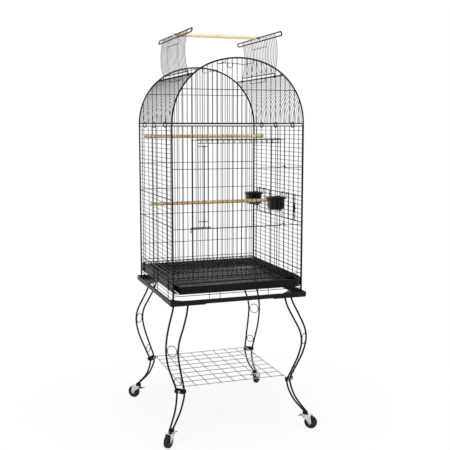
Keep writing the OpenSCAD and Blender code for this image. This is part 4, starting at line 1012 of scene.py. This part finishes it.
# ---------- cup holders ----------
# A square frame of 3 mm wire under each cup's rim, a bow under its foot, and
# two hooks that hang it over the opening's head wire.
holder_d = 3.0
holder_hw, holder_hl = (side / 2 - 3 + 0.4 + holder_d / 2 for side in (cup_w, cup_l))
hook_out = post_x - heavy_d / 2 - GAP - holder_d / 2
hook_h = cage_foot + hi_h + heavy_d / 2 + GAP + holder_d / 2
for name in ("front", "rear"):
    lo, hi = box("cup_" + name)
    z, low_z = hi.z - 5.3 - holder_d / 2, hi.z - cup_h - GAP - holder_d / 2
    below = Vector(((lo.x + hi.x) / 2, (lo.y + hi.y) / 2, 0))
    bow = [(0, holder_hl, z), (0, holder_hl, low_z), (0, -holder_hl, low_z), (0, -holder_hl, z)]
    runs = [([below + p for p in bent(hoop(holder_hw, holder_hl, z), 8, 6)], holder_d, True)]
    runs.append(([below + p for p in bent(bow, 6, 6)], holder_d))
    beads = [(below + Vector((0, s * holder_hl, z)), rail_bead) for s in (-1, 1)]
    for y in (below.y - 20, below.y + 20):
        start = (below.x + holder_hw, y, z)
        hook = [start, (hook_out, y, z), (hook_out, y, hook_h), (post_x + 1, y, hook_h)]
        runs.append((bent(hook, 3, 4), holder_d))
        beads.append((start, 2.0))
    coated("cup_hanger_" + name, "cage", runs, beads, ("cup_holder_" + name,), sides=12)


# ---------- perches ----------
# Turned softwood dowels, sanded and left raw: pale straw with brown rays of
# grain along them. Each is held by a screw and a washer through both side walls.
def turned_wood(name, pale, dark, dirt):
    """Raw dowel: long grain drawn out along X, fine yearly bands that wander
    slowly, short pores and a few darker blots."""
    made, tree, shader, place = new_material(name)
    warp = speckle(tree, place, 40.0, 2.0, (0.25, 1, 1))
    wave = {"Vector": place, "Scale": 30.0, "Distortion": 3.0, "Detail": 2.0, "Detail Scale": 2.0,
            "Phase Offset": maths(tree, "MULTIPLY", warp, 16.0)}
    bands = put(tree, "ShaderNodeTexWave", wave, wave_type="BANDS", bands_direction="Z").outputs["Fac"]
    pores = speckle(tree, place, 1.4, 3.0, (0.06, 1, 1))
    grain = maths(tree, "ADD", maths(tree, "MULTIPLY", bands, ranged(tree, pores, 0.46, 0.68)), warp)
    shade = blend(tree, ranged(tree, grain, 0.3, 1.15), tone(pale), tone(dark))
    blots = ranged(tree, speckle(tree, place, 26.0, 4.0), 0.55, 0.75, 0.0, 0.5)
    tree.links.new(blend(tree, blots, shade, tone(dirt)), shader["Base Color"])
    tree.links.new(relief(tree, pores, 0.06), shader["Normal"])
    shader["Roughness"].default_value = 0.62
    return made


def dowel(r, half, worn, rows):
    """Profile of a round stick; worn lists how much is off its radius and its length."""
    end = [(0, -half)] + [(r - a, b - half) for a, b in worn]
    reach = end[-1][1]
    return mirrored(end, [(r, reach - 2 * reach * k / rows) for k in range(1, rows)])


pine = turned_wood("raw_pine_dowel", "#f3e6cb", "#d9bd90", "#c9a878")
beech = turned_wood("raw_beech_dowel", "#dcc09a", "#94683f", "#6f4d30")
washer_x = post_x + fine_d / 2 + GAP
pan_head = turned(raised(washer_x, [
    (0, 4.0), (2.2, 3.9), (3.5, 3.2), (4.0, 2.0), (4.0, 1.5), (7.4, 1.5), (7.5, 1.3), (7.5, 0.2), (7.4, 0),
    (2.0, 0), (2.0, -20), (0, -21),
]), 28)
screws = []
for name in ("upper", "lower"):
    lo, hi = box("perch_" + name)
    mid, r = (lo + hi) / 2, (hi.z - lo.z) / 2
    stick = turned(dowel(r, hi.x, ((1.4, 0), (0.5, 0.4), (0, 1.6)), 24), 24)
    stick = moved(stick, shift(*mid) @ spin(90, "Y"))
    piece("perch_dowel_" + name, "cage", beech, [stick], ("perch_" + name,), sharp=70)
    screws += [moved(pan_head, shift(0, mid.y, mid.z) @ spin(way, "Y")) for way in (90, -90)]
piece("perch_end_screws", "cage", zinc, screws, ("perch_screws",))

# ---------- roof ends ----------
# Two arches of 6 mm rod, shoulders and crown in one sweep, each filled with
# upright wires on a level rail and crossed by one level wire.
arch_d = 6.0
haunch_r, crown_r = 230.0 - arch_d / 2, 304.0 - arch_d / 2
spring_z = edge("dome_front", "z", 0) + rail_d / 2
arch_y = edge("dome_back", "y", 1) - arch_d / 2
crown_x, crown_drop = 24.0, 70.0
crown_a = atan2(crown_x, crown_drop)
crown_z = spring_z - crown_drop
foot_x = crown_x + haunch_r
lunette_h = 119.0
lunette_hw = crown_x + sqrt(haunch_r**2 - lunette_h**2)
lunette_z = spring_z + lunette_h
quarter = pi / 2


def arc(cx, cz, r, a0, a1, y=0.0, n=24):
    """Points on an arc in the XZ plane, angles from +X in radians."""
    angles = [a0 + (a1 - a0) * k / n for k in range(n + 1)]
    return [Vector((cx + r * cos(a), y, cz + r * sin(a))) for a in angles]


def arch_z(x):
    """Height of the arch's middle line."""
    if abs(x) > crown_r * sin(crown_a):
        return spring_z + sqrt(haunch_r**2 - (abs(x) - crown_x) ** 2)
    return crown_z + sqrt(crown_r**2 - x * x)


for face, node in ((-1, "dome_front"), (1, "dome_back")):
    y = face * arch_y
    sweep = [Vector((foot_x, y, spring_z - 2))] + arc(crown_x, spring_z, haunch_r, 0, quarter - crown_a, y)
    sweep += arc(0, crown_z, crown_r, quarter - crown_a, quarter + crown_a, y, 16)[1:]
    sweep += arc(-crown_x, spring_z, haunch_r, quarter + crown_a, pi, y)[1:]
    sweep.append(Vector((-foot_x, y, spring_z - 2)))
    within = y - face * behind
    runs = [(((-foot_x, y, spring_z), (foot_x, y, spring_z)), rail_d)]
    runs.append((((-lunette_hw, within, lunette_z), (lunette_hw, within, lunette_z)), wire_d))
    beads = [((s * foot_x, y, spring_z), 3.3) for s in (-1, 1)]
    beads += [((s * lunette_hw, y - face, lunette_z), 2.4) for s in (-1, 1)]
    for x in columns[1:-1]:
        runs.append((((x, y, spring_z), (x, y, arch_z(x) - 1)), wire_d))
        beads += [((x, y, spring_z), rail_bead), ((x, y, arch_z(x) - 2.2), 2.0)]
        if abs(x) < lunette_hw:
            beads.append(((x, y - face, lunette_z), bead))
    name = node.replace("dome", "roof_end")
    coated(name + "_wires", "cage", runs, beads, (node,))
    arch = [(sweep, arch_d - 0.05)]
    wires(name + "_arch", "cage", "black_painted_steel", coat_black, arch, (), (), sides=18)

# ---------- roof sides ----------
# The fixed shoulders of the roof: thin wires bent between a foot rail and a
# hinge rail, close together, with a small stop wire under the hinge rail.
rail_r = 225.7
rail_x = crown_x + rail_r
hinge_a = radians(50.3)
hinge_x = crown_x + rail_r * cos(hinge_a)
hinge_z = spring_z + rail_r * sin(hinge_a)
roof_wire_r = 230.0 - fine_d / 2
roof_hd = edge("roof_left", "y", 1)
roof_n = 30
roof_step = 2 * (roof_hd - fine_d / 2) / roof_n
for side, node in ((-1, "roof_left"), (1, "roof_right")):
    rails = ((rail_x, spring_z), (hinge_x, hinge_z))
    runs = [(((side * x, -roof_hd, z), (side * x, roof_hd, z)), post_d) for x, z in rails]
    beads = []
    for i in range(roof_n + 1):
        y = -roof_hd + fine_d / 2 + i * roof_step
        path = arc(crown_x, spring_z, roof_wire_r, radians(-0.3), hinge_a + radians(0.4), y, 14)
        runs.append(([(side * p.x, p.y, p.z) for p in path], thin_d))
        beads.append(((side * (rail_x + 2.2), y, spring_z), 1.6))
        beads.append(((side * (hinge_x + 1.5), y, hinge_z + 1.8), 1.6))
    stop = [(side * hinge_x, y, hinge_z - z) for y, z in ((-80, 2), (-80, 14), (80, 14), (80, 2))]
    runs.append((bent(stop, 5), wire_d))
    name = node.replace("roof", "roof_side") + "_wires"
    coated(name, "cage", runs, beads, (node,), bead_detail=1)

# ---------- crown ledges ----------
# A bent wire ledge inside each end of the crown, which the closed flaps lie on,
# with a U hook under its middle for a toy.
ledge_r = 290.0
ledge_x, ledge_reach = 53.0, 100.0
ledge_a = asin(ledge_x / ledge_r)
ledge_z = crown_z + ledge_r * cos(ledge_a)
hook_r = 9.5
hook_z = crown_z + sqrt(ledge_r**2 - hook_r**2)
tie = crown_r - arch_d / 2 - ledge_r
tie_x, tie_z = ledge_x + tie * sin(ledge_a), ledge_z + tie * cos(ledge_a)
runs, beads = [], []
for face in (-1, 1):
    y, y_in = face * arch_y, face * (arch_y - ledge_reach)
    left = bent([(-tie_x, y, tie_z), (-ledge_x, y, ledge_z), (-ledge_x, y_in, ledge_z)], 4)
    right_side = bent([(ledge_x, y_in, ledge_z), (ledge_x, y, ledge_z), (tie_x, y, tie_z)], 4)
    over = arc(0, crown_z, ledge_r, quarter + ledge_a * 0.9, quarter - ledge_a * 0.9, y_in, 10)
    runs.append((left + over + right_side, wire_d))
    hook = arc(0, hook_z - 8, hook_r, pi, 2 * pi, y_in, 14)
    runs.append(([(-hook_r, y_in, hook_z), *hook, (hook_r, y_in, hook_z)], fine_d))
    beads += [((s * hook_r, y_in, hook_z), 1.7) for s in (-1, 1)]
coated("crown_ledge_wires", "cage", runs, beads, ("crown_ledges",))

# ---------- roof clips ----------
# Three turns of wire pinch each foot rail of the roof to the top rail of the
# wall below it, at both ends and in the middle.
clip_x, clip_r, clip_wire = (rail_x + post_x) / 2, 5.35, 2.3
runs = []
for s in (-1, 1):
    for y in [k * roof_step + turn_y for k in (-9.5, 0.5, 9.5) for turn_y in (-2.6, 0, 2.6)]:
        loop = arc(s * clip_x, cage_foot + panel_h, clip_r, pi, 2 * pi, y, 10)
        loop += arc(s * clip_x, spring_z, clip_r, 0, pi, y, 10)
        runs.append((loop, clip_wire, True))
coated("roof_clip_turns", "cage", runs, (), ("dome_clips",), sides=10)

# ---------- roof flaps ----------
# Two bulged wire flaps on the hinge rails, open here: a foot rail with wrapped
# hinge loops, thin uprights between thicker edge wires, a small inner frame, and
# a long double rod on top that carries the play perch.
flap_foot, flap_h, flap_r, flap_w = 12.0, 158.0, 252.0, 338.0
flap_mid = (flap_h + flap_foot) / 2
flap_c = sqrt(flap_r**2 - ((flap_h - flap_foot) / 2) ** 2)
flap_a = asin((flap_h - flap_foot) / 2 / flap_r)
flap_n = 21
loop_w, loop_h, loop_d = 458.0, 14.0, 5.0
loop_r, under_h = loop_h / 2, flap_h - loop_h
knuckle_y, knuckle_r = 10.5 * roof_step, 3.75
inner_hw, inner_top = 75.0, under_h - 25
flap_columns = [-flap_w / 2 + i * flap_w / flap_n for i in range(flap_n + 1)]
framed = [round((flap_w / 2 + s * inner_hw) * flap_n / flap_w) for s in (-1, 1)] + [0, flap_n]


def flap_x(h):
    """How far the flap bulges outwards at a height above its hinge."""
    return sqrt(flap_r**2 - (h - flap_mid) ** 2) - flap_c


lean = atan((flap_x(under_h) - flap_x(flap_h)) / loop_h)
track = ring(loop_r, 13, -90, 15, loop_w / 2 - loop_r, -loop_r)
track += [(-y, -loop_h - z) for y, z in track]
for side, node in ((-1, "roof_flap_left"), (1, "roof_flap_right")):
    def on_flap(x, y, h, side=side):
        return Vector((side * (hinge_x + x), y, hinge_z + h))

    runs = [((on_flap(0, -flap_w / 2, flap_foot), on_flap(0, flap_w / 2, flap_foot)), rail_d)]
    beads = []
    for i, y in enumerate(flap_columns):
        path = [on_flap(p.x, y, p.z) for p in arc(-flap_c, flap_mid, flap_r, -flap_a, flap_a, 0, 12)]
        runs.append((path, wire_d if i in framed else thin_d))
        beads += [(on_flap(0.5, y, flap_foot), 2.1), (on_flap(flap_x(under_h) + 0.5, y, under_h), 1.8),
                  (on_flap(0.3, y, flap_h), 1.8)]
    inner_x = flap_x(inner_top)
    runs.append(([on_flap(inner_x - wire_d + SINK, y, inner_top) for y in (-inner_hw, inner_hw)], wire_d))
    beads += [(on_flap(inner_x - 1, y, inner_top), bead) for y in flap_columns if abs(y) < inner_hw]
    rod = [on_flap(flap_x(flap_h) - z * sin(lean), y, flap_h + z * cos(lean)) for y, z in track]
    runs.append((rod, loop_d, True))
    for middle in (-knuckle_y, knuckle_y):
        for y in (middle - 2.4, middle, middle + 2.4):
            runs.append(([on_flap(x, y, z) for x, z in ring(knuckle_r, 24, 15)], hinge_wire, True))
        runs.append(((on_flap(0, middle, 4.4), on_flap(0, middle, flap_foot)), rail_d - 0.6))
    coated(node + "_wires", node, runs, beads, (node,), sides=12, bead_detail=1)

# ---------- play perch ----------
# A thicker pale dowel laid across both flaps, notched under its ends so that it
# sits on the top rods.
lo, hi = box("play_perch")
perch_r = (hi.y - lo.y) / 2
perch_y = (lo.y + hi.y) / 2
stick = turned(dowel(perch_r, hi.x, ((1.8, 0), (0.6, 0.5), (0, 2)), 20), 32)
stick = moved(stick, shift((lo.x + hi.x) / 2, perch_y, hi.z - perch_r) @ spin(90, "Y"))
play = piece("play_perch_dowel", "play_perch", pine, [stick], ("play_perch",), sharp=70)
seat = loop_d / 2 + GAP
below = -perch_r - 3
notches = []
for s in (-1, 1):
    shape = [(-s * seat, seat), (s * seat, seat), (s * seat, below), (s * (below - 2 * seat), below)]
    place = shift(s * hinge_x, perch_y, hinge_z + flap_h) @ spin(90, "X")
    notches.append(moved(prism(shape, 2 * perch_r + 4), place))
tool = add("notch_tool", solid("notch_tool", notches))
saw = play.modifiers.new("notch", "BOOLEAN")
saw.object = tool
saw.operation = "DIFFERENCE"
saw.solver = "EXACT"
plain_mesh(play)
bpy.data.objects.remove(tool)

# ---------- sizes ----------
visual_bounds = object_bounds()
rows = [[list(map(float, corner)) for corner in box] for box in (cad_bounds, visual_bounds)]
